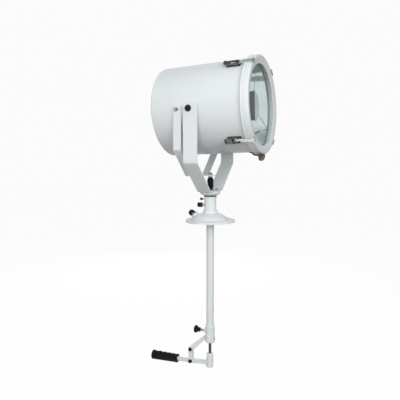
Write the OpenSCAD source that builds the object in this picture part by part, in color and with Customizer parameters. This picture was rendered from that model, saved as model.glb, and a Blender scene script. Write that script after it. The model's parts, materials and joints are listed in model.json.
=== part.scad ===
// Cabin-controlled marine searchlight. Millimetres, Z up, lamp points along +X.
// The origin is the centre of the deck flange's underside, on the pan axis.

/* [Deck base] */
// Diameter of the deck flange
flange_d = 220; // [214:1:240]
// Thickness of the flange rim
flange_t = 10; // [8:0.5:12]
// Width of the flat rim between the dome and the flange's edge
rim_w = 27; // [25:0.5:32]
// Height of the dome's shoulder
dome_h = 40; // [37:0.5:44]
// Outward bulge of the dome between foot and shoulder
dome_bulge = 4; // [2:0.5:6]
// Wall of the hollow casting
dome_wall = 7; // [6:0.5:9]
// Diameter of the ring at the neck's root
ring_d = 66; // [62:1:70]
// Height of that ring
ring_h = 12; // [8:0.5:14]
// Diameter of the neck
neck_d = 54; // [50:0.5:58]
// Height of the neck's top
neck_h = 113; // [111:0.5:118]
// Distance of the bolt circle from the flange's edge
bolt_edge = 13; // [10:0.5:15]
// Bolt holes in the deck flange
deck_hole_d = 12; // [9:0.5:13]
// Number of deck bolts
deck_bolts = 6; // [4:2:8]

/* [Cable gland] */
// Slope of the gland above the deck
gland_slope = 30; // [20:1:40]
// Width across the flats of the gland
gland_af = 27; // [24:0.5:30]
// Thread diameter of the gland
gland_thread_d = 20; // [16:0.5:22]
// Length of the gland's cap nut
gland_cap_l = 20; // [16:0.5:24]

/* [Tubes and rod] */
// Outer diameter of the fixed support tube
tube_d = 34; // [33:0.25:36]
// Wall of the support tube
tube_wall = 2.5; // [2:0.25:3]
// Reach of the support tube below the deck
tube_drop = 494; // [360:2:700]
// Wall of the two bearing bushes
bush_wall = 1.5; // [1:0.25:2]
// Wall of the turning tube
pan_wall = 5; // [4:0.25:5.5]
// Diameter of the tilt push rod
rod_d = 13; // [11:0.5:13]
// Diameter of the turntable under the yoke
turntable_d = 92; // [84:1:100]

/* [Yoke] */
// Width of the yoke strap
yoke_w = 62; // [56:1:68]
// Thickness of the yoke strap
yoke_t = 6; // [5:0.5:8]
// Width of the yoke's flat foot
yoke_foot = 130; // [116:1:150]
// Height of the bend where the arms turn upright
yoke_bend_z = 263; // [250:1:275]
// Height of the tilt axis
pivot_z = 481; // [477:1:497]
// Distance of the tilt axis behind the pan axis
pivot_back = 8; // [0:0.5:12]
// Reach of the yoke above the tilt axis
yoke_top = 23; // [18:1:28]
// Inner radius of the strap's bends
bend_r = 12; // [8:1:18]
// Diameter of the tilt bolts
tilt_bolt_d = 14; // [12:0.5:16]

/* [Tilt fork] */
// Width of the fork strap
fork_w = 35; // [32:0.5:38]
// Thickness of the fork strap
fork_t = 4; // [3:0.25:5]
// Height of the fork's foot
fork_foot_z = 207; // [204:0.5:214]
// Width of the fork's foot
fork_foot = 174; // [160:1:190]
// Height of the bend where the fork turns upright
fork_bend_z = 315; // [305:1:325]
// Distance of the fork pins behind the tilt axis
pin_back = 59; // [55:0.5:62]
// Diameter of the fork pins
pin_d = 8; // [7:0.5:9]

/* [Drum] */
// Outer diameter of the drum
drum_d = 388; // [372:1:396]
// Sheet thickness of the drum
drum_wall = 2; // [1.5:0.1:2.5]
// Reach of the drum in front of the pan axis
drum_front = 214; // [200:1:226]
// Reach of the straight drum behind the pan axis
drum_back = 182; // [170:1:190]
// Rounding of the drum's rear edge
rear_edge_r = 8; // [5:0.5:14]
// Swell of the rear cover
rear_swell = 6; // [4:0.5:12]
// Height of the drum axis above the tilt axis
axis_rise = 14.5; // [10:0.5:18]
// Nose-up angle of the lamp as drawn
rest_tilt = 1.8; // [0:0.1:4]

/* [Front] */
// Reach of the bezel ring beyond the drum
bezel_out = 9.25; // [8:0.25:12]
// Depth of the bezel ring
bezel_depth = 34; // [31:0.5:38]
// Distance of the front opening's edge inside the drum's outside
opening_in = 26; // [23:0.5:30]
// Distance of the glass's edge inside the drum's outside
glass_in = 2; // [1:0.5:6]
// Thickness of the front glass
glass_t = 6; // [4:0.5:7]
// Focal length of the reflector as a share of its radius
focal_share = 0.43; // [0.39:0.01:0.48]
// Distance of the reflector's bright rim inside the drum's outside
dish_in = 13; // [11:0.5:18]
// Diameter of the glare shield
shield_d = 124; // [100:1:140]

/* [Latches] */
// Width of a latch lever
latch_w = 27; // [25:0.5:30]
// Length of a latch lever behind its pivot
latch_l = 51; // [46:1:60]
// Width of the hook strap
hook_w = 16; // [14:0.5:17]
// Width of the hook's crossbar
hook_bar = 29; // [26:0.5:32]
// Distance from the lever's pivot to the hook's pin
hook_throw = 14; // [12:0.5:16]

/* [Control handle] */
// Distance of the fulcrum from the pan axis
fulcrum_x = 97; // [90:1:104]
// Drop from the lever's pin to its fulcrum at rest
fulcrum_drop = 10; // [6:0.5:12]
// Length of the swinging link
link_l = 58; // [52:1:64]
// Height of the lever bar
lever_h = 20; // [18:0.5:22]
// Thickness of the lever bar
lever_t = 8; // [6:0.5:9]
// Length of the hand grip
grip_l = 135; // [125:1:150]
// Diameter of the hand grip
grip_d = 39; // [36:0.5:42]
// Height of the handle sleeve
sleeve_h = 34; // [30:0.5:40]
// Diameter of the lock knob
knob_d = 36; // [30:0.5:38]

/* [Fits] */
// Radial room of a fixed fit
fit = 0.02; // [0.01:0.01:0.05]
// Radial room of a running fit
run = 0.06; // [0.04:0.01:0.1]
// Room between faces that pass each other
gap = 0.3; // [0.3:0.05:0.5]

/* [Hidden] */
$fn = 96;

white = [0.86, 0.88, 0.89];
black = [0.06, 0.06, 0.07];
steel = [0.62, 0.63, 0.65];
dark_steel = [0.25, 0.26, 0.27];
bronze = [0.45, 0.36, 0.26];
rubber = [0.09, 0.09, 0.10];

// Largest tilt to either side
tilt_max = 30;

// Radii and heights of the deck base
tube_r = tube_d / 2;
bore_r = tube_r + fit;
neck_r = neck_d / 2;
ring_r = ring_d / 2;
dome_r = flange_d / 2 - rim_w;
bolt_circle_d = flange_d - 2 * bolt_edge;
hub_r = bore_r + dome_wall;
tube_top_z = neck_h - 25;
lock_bolt_z = neck_h - 39;
set_screw_z = neck_h - 12;
lock_bolt_d = 12;
set_screw_d = 6;
thrust_t = 5;

// Gland seat on the dome's slope
gland_x = (dome_r + ring_r) / 2 + 10;
gland_z = flange_t + (dome_r - gland_x) / (dome_r - ring_r) * (dome_h - flange_t) + 3;
gland_boss_l = 9.5;
gland_hex_l = 9;

// Turning tube, its bearings and the lower end
bush_r = tube_r - tube_wall - fit;
pan_r = bush_r - bush_wall - run;
pan_bore_r = pan_r - pan_wall;
rod_r = rod_d / 2;
turntable_z = neck_h + thrust_t + gap;
turntable_t = 17;
foot_z = turntable_z + turntable_t;
spigot_r = pan_r - 2.5;
spigot_z = foot_z + yoke_t + 9;
collar_r = tube_r + 4;
collar_top_z = -tube_drop + 16;
collar_foot_z = -tube_drop - 29;
knob_z = -tube_drop - 14;
sleeve_r = collar_r + 1.5;
sleeve_top_z = collar_foot_z - gap;
sleeve_foot_z = sleeve_top_z - sleeve_h;
bush_l = 34;
guide_l = 30;

// Drum and front
drum_r = drum_d / 2;
drum_ri = drum_r - drum_wall;
axis_z = pivot_z + axis_rise;
bezel_r = drum_r + bezel_out;
bezel_wall = 1.8;
bezel_ri = bezel_r - bezel_wall;
rim_room = 1.2;
rim_r = bezel_ri - rim_room;
bead_r = bezel_r + 1.5;
bezel_back = drum_front - 6;
bezel_front = bezel_back + bezel_depth;
opening_r = drum_r - opening_in;
face_t = 3;
face_dish = 6;
dish_corner_r = bezel_r - 9;
glass_r = drum_r - glass_in;
glass_x = drum_front + 6;
gasket_ri = opening_r + 6;
dish_r = drum_r - dish_in;
focal = dish_r * focal_share;
dish_rim_x = drum_front - 8;
dish_t = 1.5;
dish_flat_r = 40;
dish_hole_r = 24;
dish_flange_r = drum_ri - 2;
vertex_x = dish_rim_x - dish_r * dish_r / (4 * focal);
dish_flat_x = vertex_x + dish_flat_r * dish_flat_r / (4 * focal);
focus_x = vertex_x + focal;
holder_r = 20;
cap_r = 9;
bulb_r = 16;
bulb_l = 36;
stay_t = 2;
shield_r = shield_d / 2;
shield_x = dish_rim_x - 8;

// Yoke and fork at the sides of the drum
yoke_y = drum_r + 9.5;
yoke_in = yoke_y - yoke_t / 2;
yoke_out = yoke_y + yoke_t / 2;
fork_y = yoke_in - 0.8 - fork_t / 2;
fork_in = fork_y - fork_t / 2;
fork_out = fork_y + fork_t / 2;
fork_x = 5 - pin_back - pivot_back;
pin_r = pin_d / 2;
// The pins swing on an arc while the fork runs straight, so its holes are slots
slot_reach = pin_back * (1 - cos(tilt_max + rest_tilt));
pin_z = pivot_z - pin_back * sin(rest_tilt);
slot_room = 1;
rod_travel = pin_back * sin(tilt_max);
washer_t = 1.5;
tilt_r = tilt_bolt_d / 2;
rod_top_z = fork_foot_z + fork_t / 2 + 11;

// Control linkage below the tube
block_top_z = sleeve_foot_z - 53;
block_h = 65;
block_t = lever_t + 10;
block_r = 15;
lever_pin_z = block_top_z - 45;
rod_foot_z = lever_pin_z + lever_h / 2 + 11;
fulcrum_z = lever_pin_z - fulcrum_drop;
arm_pin_z = fulcrum_z + link_l;
link_w = 20;
link_t = 4;
link_y = lever_t / 2 + gap + link_t / 2;
joint_pin_r = 4.5;
lever_slope = 2.4;
web_r = 18;
grip_x = -fulcrum_x - 71;
grip_top_z = fulcrum_z - (abs(grip_x) - fulcrum_x) * tan(lever_slope);
tang_h = lever_h - 6;
// The lever's fulcrum sways as it swings, so the link's upper bolt rides in a slot of the arm
lever_arm = norm([fulcrum_x, fulcrum_drop]);
lever_rest = atan(fulcrum_drop / fulcrum_x);
lever_swing = asin(rod_travel / lever_arm);
sway_up = lever_arm * (cos(lever_rest) - cos(lever_rest + lever_swing));
sway_down = lever_arm * (cos(lever_rest) - cos(lever_swing - lever_rest));
arm_slot = (sway_up + sway_down) / 2 + 0.8;
arm_eye_r = link_w / 2 + 2;

// Latch frame: x along the drum, then tangent, then radius
latch_angles = [40, 137, -40, -137];
latch_x = bezel_back - 30;
latch_r = drum_r + 9.5;
hook_pin_x = latch_x - hook_throw;
hook_pin_r = latch_r - 2;
latch_pin_r = 2.5;
latch_base_l = 58;
latch_base_back = 46;
hook_t = 2.5;
hook_r = bead_r + 2 * gap + hook_t / 2;
ear_in = hook_w / 2 + 0.5;
ear_t = 2.5;
side_in = ear_in + ear_t + 0.5;
side_t = latch_w / 2 - side_in;

// Hinge under the bezel
hinge_x = bezel_back + 24;
hinge_r = bezel_r + 6;
hinge_eye_r = 5;
hinge_pin_r = 3;
lug_w = 17;

// Outline helpers
function unit(v) = v / norm(v);
function left(v) = [-v[1], v[0]];
function heading(path, i) = unit(path[i + 1] - path[i]);
function side(path, i) =
    i == 0 ? left(heading(path, 0))
    : i == len(path) - 1 ? left(heading(path, i - 1))
    : let (a = left(heading(path, i - 1)), m = unit(a + left(heading(path, i)))) m / (m * a);
// Outline of a strip of even thickness along a path
function strip(path, t) = concat(
    [for (i = [0:len(path) - 1]) path[i] + side(path, i) * t / 2],
    [for (i = [len(path) - 1:-1:0]) path[i] - side(path, i) * t / 2]);
// Path with its inner corners rounded, six points to a corner
function corner(p, c, n, r) = let (
    a = unit(p - c), b = unit(n - c), half = acos(a * b) / 2,
    m = c + unit(a + b) * r / sin(half), reach = r / tan(half),
    s = c + a * reach, e = c + b * reach)
    [for (k = [0:5]) m + unit((s - m) * (5 - k) + (e - m) * k) * r];
function rounded(path, r) = concat([path[0]],
    [for (i = [1:len(path) - 2]) each corner(path[i - 1], path[i], path[i + 1], r)],
    [path[len(path) - 1]]);
// Points on a circle's arc
function arc(c, r, from, to, steps) =
    [for (k = [0:steps]) let (a = from + (to - from) * k / steps) c + r * [cos(a), sin(a)]];

// Placing helpers
module head_frame() {
    translate([-pivot_back, 0, pivot_z]) rotate([0, -rest_tilt, 0]) translate([pivot_back, 0, -pivot_z]) children();
}
module about_drum() {
    head_frame() translate([0, 0, axis_z]) rotate([0, 90, 0]) rotate_extrude() children();
}
module on_drum(angle) {
    head_frame() translate([0, 0, axis_z]) rotate([angle, 0, 0]) children();
}
// Long fine cylinder that fits a foot to the drum or the bezel
module round_cut(r) {
    rotate([0, 90, 0]) cylinder(r = r, h = 2 * drum_d, center = true, $fn = 360);
}
module flat_along_y(width) {
    rotate([90, 0, 0]) linear_extrude(height = width, center = true) children();
}
module rod_along_y(r, width) {
    rotate([90, 0, 0]) cylinder(r = r, h = width, center = true);
}
module both_sides() {
    for (s = [-1, 1]) scale_y(s) children();
}
module scale_y(s) {
    if (s < 0) mirror([0, 1, 0]) children();
    else children();
}
module tube(r_out, r_in, z_low, z_high) {
    translate([0, 0, z_low]) difference() {
        cylinder(r = r_out, h = z_high - z_low);
        translate([0, 0, -1]) cylinder(r = r_in, h = z_high - z_low + 2);
    }
}
module hex(af, h) {
    cylinder(r = af / 2 / cos(30), h = h, $fn = 6);
}
module at_gland() {
    translate([-gland_x, 0, gland_z]) rotate([0, gland_slope - 90, 0]) children();
}
module outward(z) {
    translate([0, 0, z]) rotate([0, -90, 0]) children();
}

// Deck base: hollow casting with hub, dome, ring and neck
module deck_base() {
    slope = unit([ring_r - dome_r, dome_h - flange_t]);
    out = [slope[1], -slope[0]];
    color(white) difference() {
        union() {
            rotate_extrude() polygon(concat(
                [[bore_r, 0], [hub_r, 0], [hub_r, dome_h - dome_wall], [ring_r - 2, dome_h - dome_wall],
                 [dome_r - 1.3 * dome_wall, 0], [flange_d / 2, 0], [flange_d / 2, flange_t - 2],
                 [flange_d / 2 - 2, flange_t], [dome_r + 4, flange_t], [dome_r + 1, flange_t + 1]],
                [for (k = [0:8]) let (t = k / 8)
                    [dome_r, flange_t] * (1 - t) + [ring_r, dome_h] * t
                    + out * dome_bulge * sin(180 * t) + [0, 2 * (1 - t)]],
                [[ring_r, dome_h + ring_h - 2], [ring_r - 2, dome_h + ring_h],
                 [neck_r, dome_h + ring_h], [neck_r, neck_h], [bore_r, neck_h]]));
            at_gland() translate([0, 0, -dome_wall]) cylinder(r = gland_af / 2 + 3, h = dome_wall + gland_boss_l);
        }
        for (k = [0:deck_bolts - 1]) rotate([0, 0, 180 / deck_bolts + k * 360 / deck_bolts])
            translate([bolt_circle_d / 2, 0, -1]) cylinder(d = deck_hole_d, h = flange_t + dome_h);
        at_gland() translate([0, 0, -dome_wall - 12]) cylinder(d = gland_thread_d + 2 * fit, h = 60);
        outward(lock_bolt_z) cylinder(d = lock_bolt_d + 2 * fit, h = neck_d);
        outward(set_screw_z) cylinder(d = set_screw_d + 2 * fit, h = neck_d);
        translate([-flange_d, -flange_d, -50]) cube([2 * flange_d, 2 * flange_d, 50]);
    }
}
// Fixed support tube, clamped in the neck and reaching through the cabin roof
module support_tube() {
    color(white) tube(tube_r, tube_r - tube_wall, -tube_drop, tube_top_z);
}
module upper_bush() {
    color(bronze) {
        tube(tube_r, pan_r + run, tube_top_z + gap, neck_h + thrust_t / 2);
        tube(neck_r + 1.5, pan_r + run, neck_h, neck_h + thrust_t);
    }
}
module lower_bush() {
    color(bronze) tube(bush_r, pan_r + run, -tube_drop, bush_l - tube_drop);
}
// Collar on the tube's lower end, with the boss for the lock screw
module tube_collar() {
    color(white) difference() {
        union() {
            rotate_extrude() polygon([
                [pan_r + gap, collar_foot_z], [collar_r, collar_foot_z], [collar_r, collar_top_z - 2],
                [collar_r - 2, collar_top_z], [bore_r, collar_top_z], [bore_r, -tube_drop],
                [pan_r + gap, -tube_drop]]);
            difference() {
                outward(knob_z) cylinder(r = 9, h = collar_r + 6);
                translate([0, 0, collar_foot_z]) cylinder(r = collar_r - 1, h = 60);
            }
        }
        outward(knob_z) cylinder(r = joint_pin_r + run, h = collar_r + 20);
    }
}
module gland_body() {
    color(steel) at_gland() {
        translate([0, 0, gland_boss_l]) difference() {
            union() {
                translate([0, 0, -dome_wall - gland_boss_l - 2])
                    cylinder(d = gland_thread_d, h = dome_wall + gland_boss_l + 3);
                hex(gland_af, gland_hex_l);
                cylinder(d = gland_thread_d, h = gland_hex_l + gland_cap_l / 2);
            }
            translate([0, 0, -50]) cylinder(d = gland_thread_d - 7, h = 120);
        }
    }
}
module gland_nut() {
    color(steel) at_gland() translate([0, 0, gland_boss_l + gland_hex_l + gap]) difference() {
        union() {
            hex(gland_af - 1, gland_cap_l * 0.7);
            cylinder(r = gland_af / 2 - 2, h = gland_cap_l);
        }
        translate([0, 0, -1]) cylinder(d = gland_thread_d + 2 * fit, h = gland_cap_l * 0.75 + 1);
        cylinder(d = gland_thread_d - 5, h = gland_cap_l + 1);
    }
}
module gland_seal() {
    color(rubber) at_gland() translate([0, 0, gland_boss_l + gland_hex_l + gap]) difference() {
        union() {
            translate([0, 0, gland_cap_l / 2])
                cylinder(d = gland_thread_d - 0.4, h = gland_cap_l / 4 - fit);
            translate([0, 0, gland_cap_l / 2]) cylinder(d = gland_thread_d - 5 - 2 * fit, h = gland_cap_l / 2 + 1);
        }
        translate([0, 0, 0]) cylinder(d = 9, h = gland_cap_l + 9);
    }
}
module neck_lock_bolt() {
    color(black) outward(lock_bolt_z) {
        translate([0, 0, tube_r]) cylinder(d = lock_bolt_d, h = neck_r - tube_r + 26);
        translate([0, 0, neck_r + 12]) hex(19, 9);
        translate([0, 0, neck_r + 24]) hex(19, 9);
    }
}
module neck_set_screw() {
    color(black) outward(set_screw_z) {
        translate([0, 0, tube_r]) cylinder(d = set_screw_d, h = neck_r - tube_r + 14);
        translate([0, 0, neck_r + 12]) cylinder(d = 11, h = 9);
    }
}
// Screw that locks the turning tube, and its knob
module lock_stem() {
    color(steel) outward(knob_z) {
        translate([0, 0, pan_r + gap]) cylinder(r = joint_pin_r, h = 52 - pan_r);
    }
}
module lock_knob() {
    color(black) outward(knob_z) difference() {
        rotate_extrude() polygon(concat(
            [[0, collar_r + 28], [9, collar_r + 28], [10.5, collar_r + 30], [10, collar_r + 40]],
            [[knob_d / 2 - 3, collar_r + 46]],
            arc([knob_d / 2 - 4, collar_r + 50], 4, -60, 70, 6),
            arc([0, collar_r + 14], 44, 68, 90, 6)));
        translate([0, 0, collar_r]) cylinder(r = joint_pin_r + fit, h = 52 + gap - collar_r + fit);
    }
}

// Turning tube with a spigot for the gaiter
module pan_tube() {
    color(steel) {
        tube(pan_r, pan_bore_r, sleeve_foot_z + 1, foot_z + yoke_t);
        tube(spigot_r, pan_bore_r, foot_z + yoke_t - 1, spigot_z);
    }
}
module turntable() {
    color(white) difference() {
        rotate_extrude() polygon([
            [pan_r + fit, turntable_z], [neck_r + 3, turntable_z], [turntable_d / 2 - 2, turntable_z + 8],
            [turntable_d / 2, turntable_z + 10], [turntable_d / 2, foot_z], [pan_r + fit, foot_z]]);
        yoke_bolt_places() translate([0, 0, foot_z - 12]) cylinder(d = 8 + 2 * fit, h = 20);
    }
}
module yoke_bolt_places() {
    for (x = [-1, 1], y = [-1, 1]) translate([x * yoke_bolt_at, y * yoke_bolt_at, 0]) children();
}
yoke_bolt_at = 22;
// One bent strap that carries the drum on both sides
module yoke() {
    path = [[-yoke_y, pivot_z + yoke_top], [-yoke_y, yoke_bend_z], [-yoke_foot / 2, foot_z + yoke_t / 2],
            [yoke_foot / 2, foot_z + yoke_t / 2], [yoke_y, yoke_bend_z], [yoke_y, pivot_z + yoke_top]];
    corner_r = 16;
    color(white) difference() {
        rotate([90, 0, 90]) linear_extrude(height = yoke_w, center = true)
            polygon(strip(rounded(path, bend_r + yoke_t / 2), yoke_t));
        for (s = [-1, 1]) translate([s * yoke_w / 2, 0, pivot_z + yoke_top]) difference() {
            cube([2 * corner_r, 2 * yoke_y + 40, 2 * corner_r], center = true);
            translate([-s * corner_r, 0, -corner_r]) rod_along_y(corner_r, 2 * yoke_y + 60);
        }
        translate([-pivot_back, 0, pivot_z]) rod_along_y(tilt_r + run, 2 * yoke_y + 40);
        translate([0, 0, foot_z - 1]) cylinder(r = pan_r + fit, h = yoke_t + 2);
        yoke_bolt_places() translate([0, 0, foot_z - 1]) cylinder(d = 8 + 2 * fit, h = yoke_t + 2);
    }
}
module yoke_bolts() {
    color(steel) yoke_bolt_places() {
        translate([0, 0, foot_z - 11]) cylinder(d = 8, h = yoke_t + 12);
        translate([0, 0, foot_z + yoke_t]) hex(13, 5.3);
    }
}
module rod_guides() {
    color(bronze) {
        tube(pan_bore_r - fit, rod_r + run, spigot_z - guide_l, spigot_z);
        tube(pan_bore_r - fit, rod_r + run, sleeve_foot_z + 1, sleeve_foot_z + 1 + guide_l);
    }
}
// Sleeve that turns the tube, and the arm that carries the fulcrum
module handle_sleeve() {
    color(white) difference() {
        rotate_extrude() polygon([
            [pan_r + fit, sleeve_foot_z], [sleeve_r - 4, sleeve_foot_z], [sleeve_r, sleeve_foot_z + 4],
            [sleeve_r, sleeve_top_z - 1], [sleeve_r - 1, sleeve_top_z], [pan_r + fit, sleeve_top_z]]);
        sleeve_screw_place() cylinder(d = 8 + 2 * fit, h = sleeve_r + 10);
    }
}
module sleeve_screw_place() {
    translate([0, 0, sleeve_foot_z + sleeve_h / 2]) rotate([0, 90, 0]) children();
}
module sleeve_screw() {
    color(dark_steel) sleeve_screw_place() difference() {
        translate([0, 0, pan_r + fit]) cylinder(d = 8, h = sleeve_r - pan_r - 1);
        translate([0, 0, sleeve_r - 4]) hex(4, 5);
    }
}
module fulcrum_arm() {
    tip = [-fulcrum_x, arm_pin_z];
    lean = unit([fulcrum_x - sleeve_r, sleeve_top_z - arm_pin_z]);
    across = left(lean) * arm_eye_r;
    color(white) difference() {
        union() {
            difference() {
                flat_along_y(lever_t) polygon([
                    tip + across, [-sleeve_r, sleeve_top_z - 3], [0, sleeve_top_z - 3],
                    [0, sleeve_foot_z + 5], [-sleeve_r - 4, sleeve_foot_z + 5], tip - across]);
                translate([-sleeve_r - 6, 0, arm_pin_z - 6]) rod_along_y(42, 40);
            }
            translate([tip[0], 0, tip[1]]) rod_along_y(arm_eye_r, lever_t);
        }
        translate([0, 0, sleeve_foot_z - 60]) cylinder(r = sleeve_r + fit, h = 200);
        for (x = [0, arm_slot]) translate([tip[0] + x, 0, tip[1]]) rod_along_y(joint_pin_r + slot_room, 40);
        translate([tip[0], -20, tip[1] - joint_pin_r - slot_room])
            cube([arm_slot, 40, 2 * (joint_pin_r + slot_room)]);
    }
}
// Pivot bolt with its head on one side and its nut on the other
module pivot_bolt(x, z, reach) {
    translate([x, 0, z]) {
        rod_along_y(joint_pin_r, 2 * reach + 10);
        for (s = [-1, 1]) translate([0, s * reach, 0]) rotate([-90 * s, 0, 0]) hex(16, 6.5);
    }
}
module arm_bolt() {
    color(black) pivot_bolt(-fulcrum_x, arm_pin_z, link_y + link_t / 2 + fit);
}

// Rubber gaiter between the turning tube and the push rod
module gaiter() {
    z0 = foot_z + yoke_t + 1.5;
    z1 = fork_foot_z - fork_t / 2 - 6.5;
    span = z1 - spigot_z;
    wall = 1.6;
    function at(out, share) = [spigot_r + out, spigot_z + span * share];
    fold = concat(
        [[spigot_r + fit, z0], [spigot_r + wall, z0], [spigot_r + wall + 0.3, spigot_z - 1]],
        [at(3.4, 0.22), at(4.2, 0.26), at(4.2, 0.31), at(0.8, 0.37), at(2.8, 0.49), at(3.8, 0.63), at(3.2, 0.80),
         at(0.8, 0.93)],
        [[rod_r + 2.6, z1], [rod_r + run, z1], [rod_r + run, z1 - 5]],
        [at(3.2 - wall, 0.78), at(3.8 - wall, 0.63), at(2.8 - wall, 0.50), at(0.8 - wall, 0.37),
         at(3.4 - wall, 0.29)],
        [[spigot_r + fit, spigot_z]]);
    color(rubber) rotate_extrude() polygon(fold);
}
// Push rod and the fork that tilts the drum
module push_rod() {
    color(dark_steel) translate([0, 0, rod_foot_z]) cylinder(r = rod_r, h = rod_top_z - rod_foot_z);
}
module tilt_fork() {
    top = pivot_z + 18;
    path = [[-fork_y, top], [-fork_y, fork_bend_z], [-fork_foot / 2, fork_foot_z],
            [fork_foot / 2, fork_foot_z], [fork_y, fork_bend_z], [fork_y, top]];
    tongue = 23;
    color(white) difference() {
        union() {
            translate([fork_x, 0, 0]) rotate([90, 0, 90]) linear_extrude(height = fork_w, center = true)
                polygon(strip(rounded(path, 10), fork_t));
            translate([fork_x, -tongue, fork_foot_z - fork_t / 2]) cube([-fork_x, 2 * tongue, fork_t]);
            translate([0, 0, fork_foot_z - fork_t / 2]) cylinder(r = tongue, h = fork_t);
        }
        for (s = [-1, 1]) translate([fork_x + s * fork_w / 2, 0, top]) difference() {
            cube([20, 2 * fork_y + 40, 20], center = true);
            translate([-s * 10, 0, -10]) rod_along_y(10, 2 * fork_y + 60);
        }
        translate([0, 0, fork_foot_z - 10]) cylinder(r = rod_r + fit, h = 20);
        for (x = [0, slot_reach]) translate([x - pin_back - pivot_back, 0, pin_z])
            rod_along_y(pin_r + slot_room, 2 * fork_y + 40);
        translate([-pin_back - pivot_back, -fork_y - 20, pin_z - pin_r - slot_room])
            cube([slot_reach, 2 * fork_y + 40, 2 * (pin_r + slot_room)]);
    }
}
module fork_nuts() {
    color(steel) for (z = [fork_foot_z + fork_t / 2, fork_foot_z - fork_t / 2 - 6])
        translate([0, 0, z]) difference() {
            hex(19, z > fork_foot_z ? 8 : 6);
            translate([0, 0, -1]) cylinder(r = rod_r + fit, h = 12);
        }
}
// Block at the rod's foot, slotted for the lever
module rod_block() {
    chamfer = 9;
    cheek_x = -21;
    foot_z = block_top_z - block_h;
    slot_top = lever_pin_z + lever_h / 2 + 8;
    color(white) difference() {
        union() {
            rotate_extrude() polygon([[0, foot_z], [block_r, foot_z], [block_r, block_top_z - 2],
                [block_r - 2, block_top_z], [0, block_top_z]]);
            flat_along_y(block_t) polygon([
                [2 - block_r, slot_top + 6], [0, slot_top + 6], [0, foot_z], [cheek_x + chamfer, foot_z],
                [cheek_x, foot_z + chamfer], [cheek_x, foot_z + 2.4 * chamfer]]);
        }
        translate([-50, -lever_t / 2 - gap, foot_z - 10])
            cube([50 + lever_h / 2 + 1, lever_t + 2 * gap, slot_top - foot_z + 10]);
        translate([-50, -50, foot_z - 1]) rotate([90, 0, 0]) mirror([0, 0, 1]) linear_extrude(height = 100)
            polygon([[50 + cheek_x - 10, 0], [50 + cheek_x + chamfer, 0], [50 + cheek_x - 10, chamfer + 11]]);
        translate([0, 0, slot_top - 1]) cylinder(r = rod_r + fit, h = 100);
        translate([0, 0, lever_pin_z]) rod_along_y(joint_pin_r + fit, 60);
    }
}
module block_pin() {
    color(white) translate([0, 0, lever_pin_z]) rod_along_y(joint_pin_r, 2 * block_r - 2);
}
module control_link() {
    color(white) for (s = [-1, 1]) translate([-fulcrum_x, s * link_y, 0]) difference() {
        union() {
            for (z = [fulcrum_z, arm_pin_z]) translate([0, 0, z]) rod_along_y(link_w / 2, link_t);
            translate([-link_w / 2, -link_t / 2, fulcrum_z]) cube([link_w, link_t, link_l]);
        }
        for (z = [fulcrum_z, arm_pin_z]) translate([0, 0, z]) rod_along_y(joint_pin_r + fit, 20);
    }
}
module link_bolt() {
    color(black) pivot_bolt(-fulcrum_x, fulcrum_z, link_y + link_t / 2 + fit);
}
// Cranked lever bar with an eye at its pin and its fulcrum, and a tang in the grip
module control_lever() {
    grip_end = grip_x - grip_l + 12;
    tail = [grip_end, grip_top_z - (grip_x - grip_end) * tan(lever_slope)];
    color(white) difference() {
        union() {
            flat_along_y(lever_t) polygon(strip(
                [[0, lever_pin_z], [-fulcrum_x, fulcrum_z], [grip_x + 2, grip_top_z]], lever_h));
            flat_along_y(lever_t) polygon(strip(
                [[grip_x + 3, grip_top_z + 3 * tan(lever_slope)], tail], tang_h));
            translate([0, 0, lever_pin_z]) rod_along_y(lever_h / 2, lever_t);
            translate([-fulcrum_x, 0, fulcrum_z]) rod_along_y(lever_h / 2 + 1, lever_t);
            translate([-fulcrum_x, 0, fulcrum_z]) rotate([0, -lever_rest, 0]) flat_along_y(lever_t) polygon(concat(
                [[0, 0], [link_w / 2 + web_r, 0]],
                arc([link_w / 2 + web_r, lever_h / 2 + web_r], web_r, 270, 180, 8),
                [[0, lever_h / 2 + web_r]]));
        }
        translate([0, 0, lever_pin_z]) rod_along_y(joint_pin_r + run, 40);
        translate([-fulcrum_x, 0, fulcrum_z]) rod_along_y(joint_pin_r + run, 40);
    }
}
// Grip that widens towards its end, with finger hollows on top
module hand_grip() {
    r = grip_d / 2;
    wide = r + 1.5;
    hollow = 2.2;
    ends = [for (share = [0.04, 0.19, 0.345, 0.52, 0.73, 0.965]) share * grip_l];
    color(black) translate([grip_x, 0, grip_top_z]) rotate([0, -90 - lever_slope, 0]) difference() {
        rotate_extrude() polygon([
            [0, 0], [r - 0.5, 0], [r + 0.7, 1.2], [r + 0.7, 3], [r, 6], [wide - 0.5, grip_l - 7],
            [wide + 1, grip_l - 3.5], [wide + 1, grip_l - 1.2], [wide - 0.2, grip_l], [0, grip_l]]);
        for (k = [0:len(ends) - 2]) let (
            half = (ends[k + 1] - ends[k]) / 2,
            mid = (ends[k + 1] + ends[k]) / 2,
            skin = r + (wide - r) * mid / grip_l,
            cut_r = (half * half + hollow * hollow) / (2 * hollow))
            translate([skin - hollow + cut_r, 0, mid]) rod_along_y(cut_r, 2 * r + 20);
        translate([0, 0, grip_l / 2 - 6])
            cube([tang_h + 2 * fit, lever_t + 2 * fit, grip_l - 11], center = true);
        translate([0, 0, 2]) cube([lever_h + 1, lever_t + 2 * fit, 4 + 2], center = true);
    }
}

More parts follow.
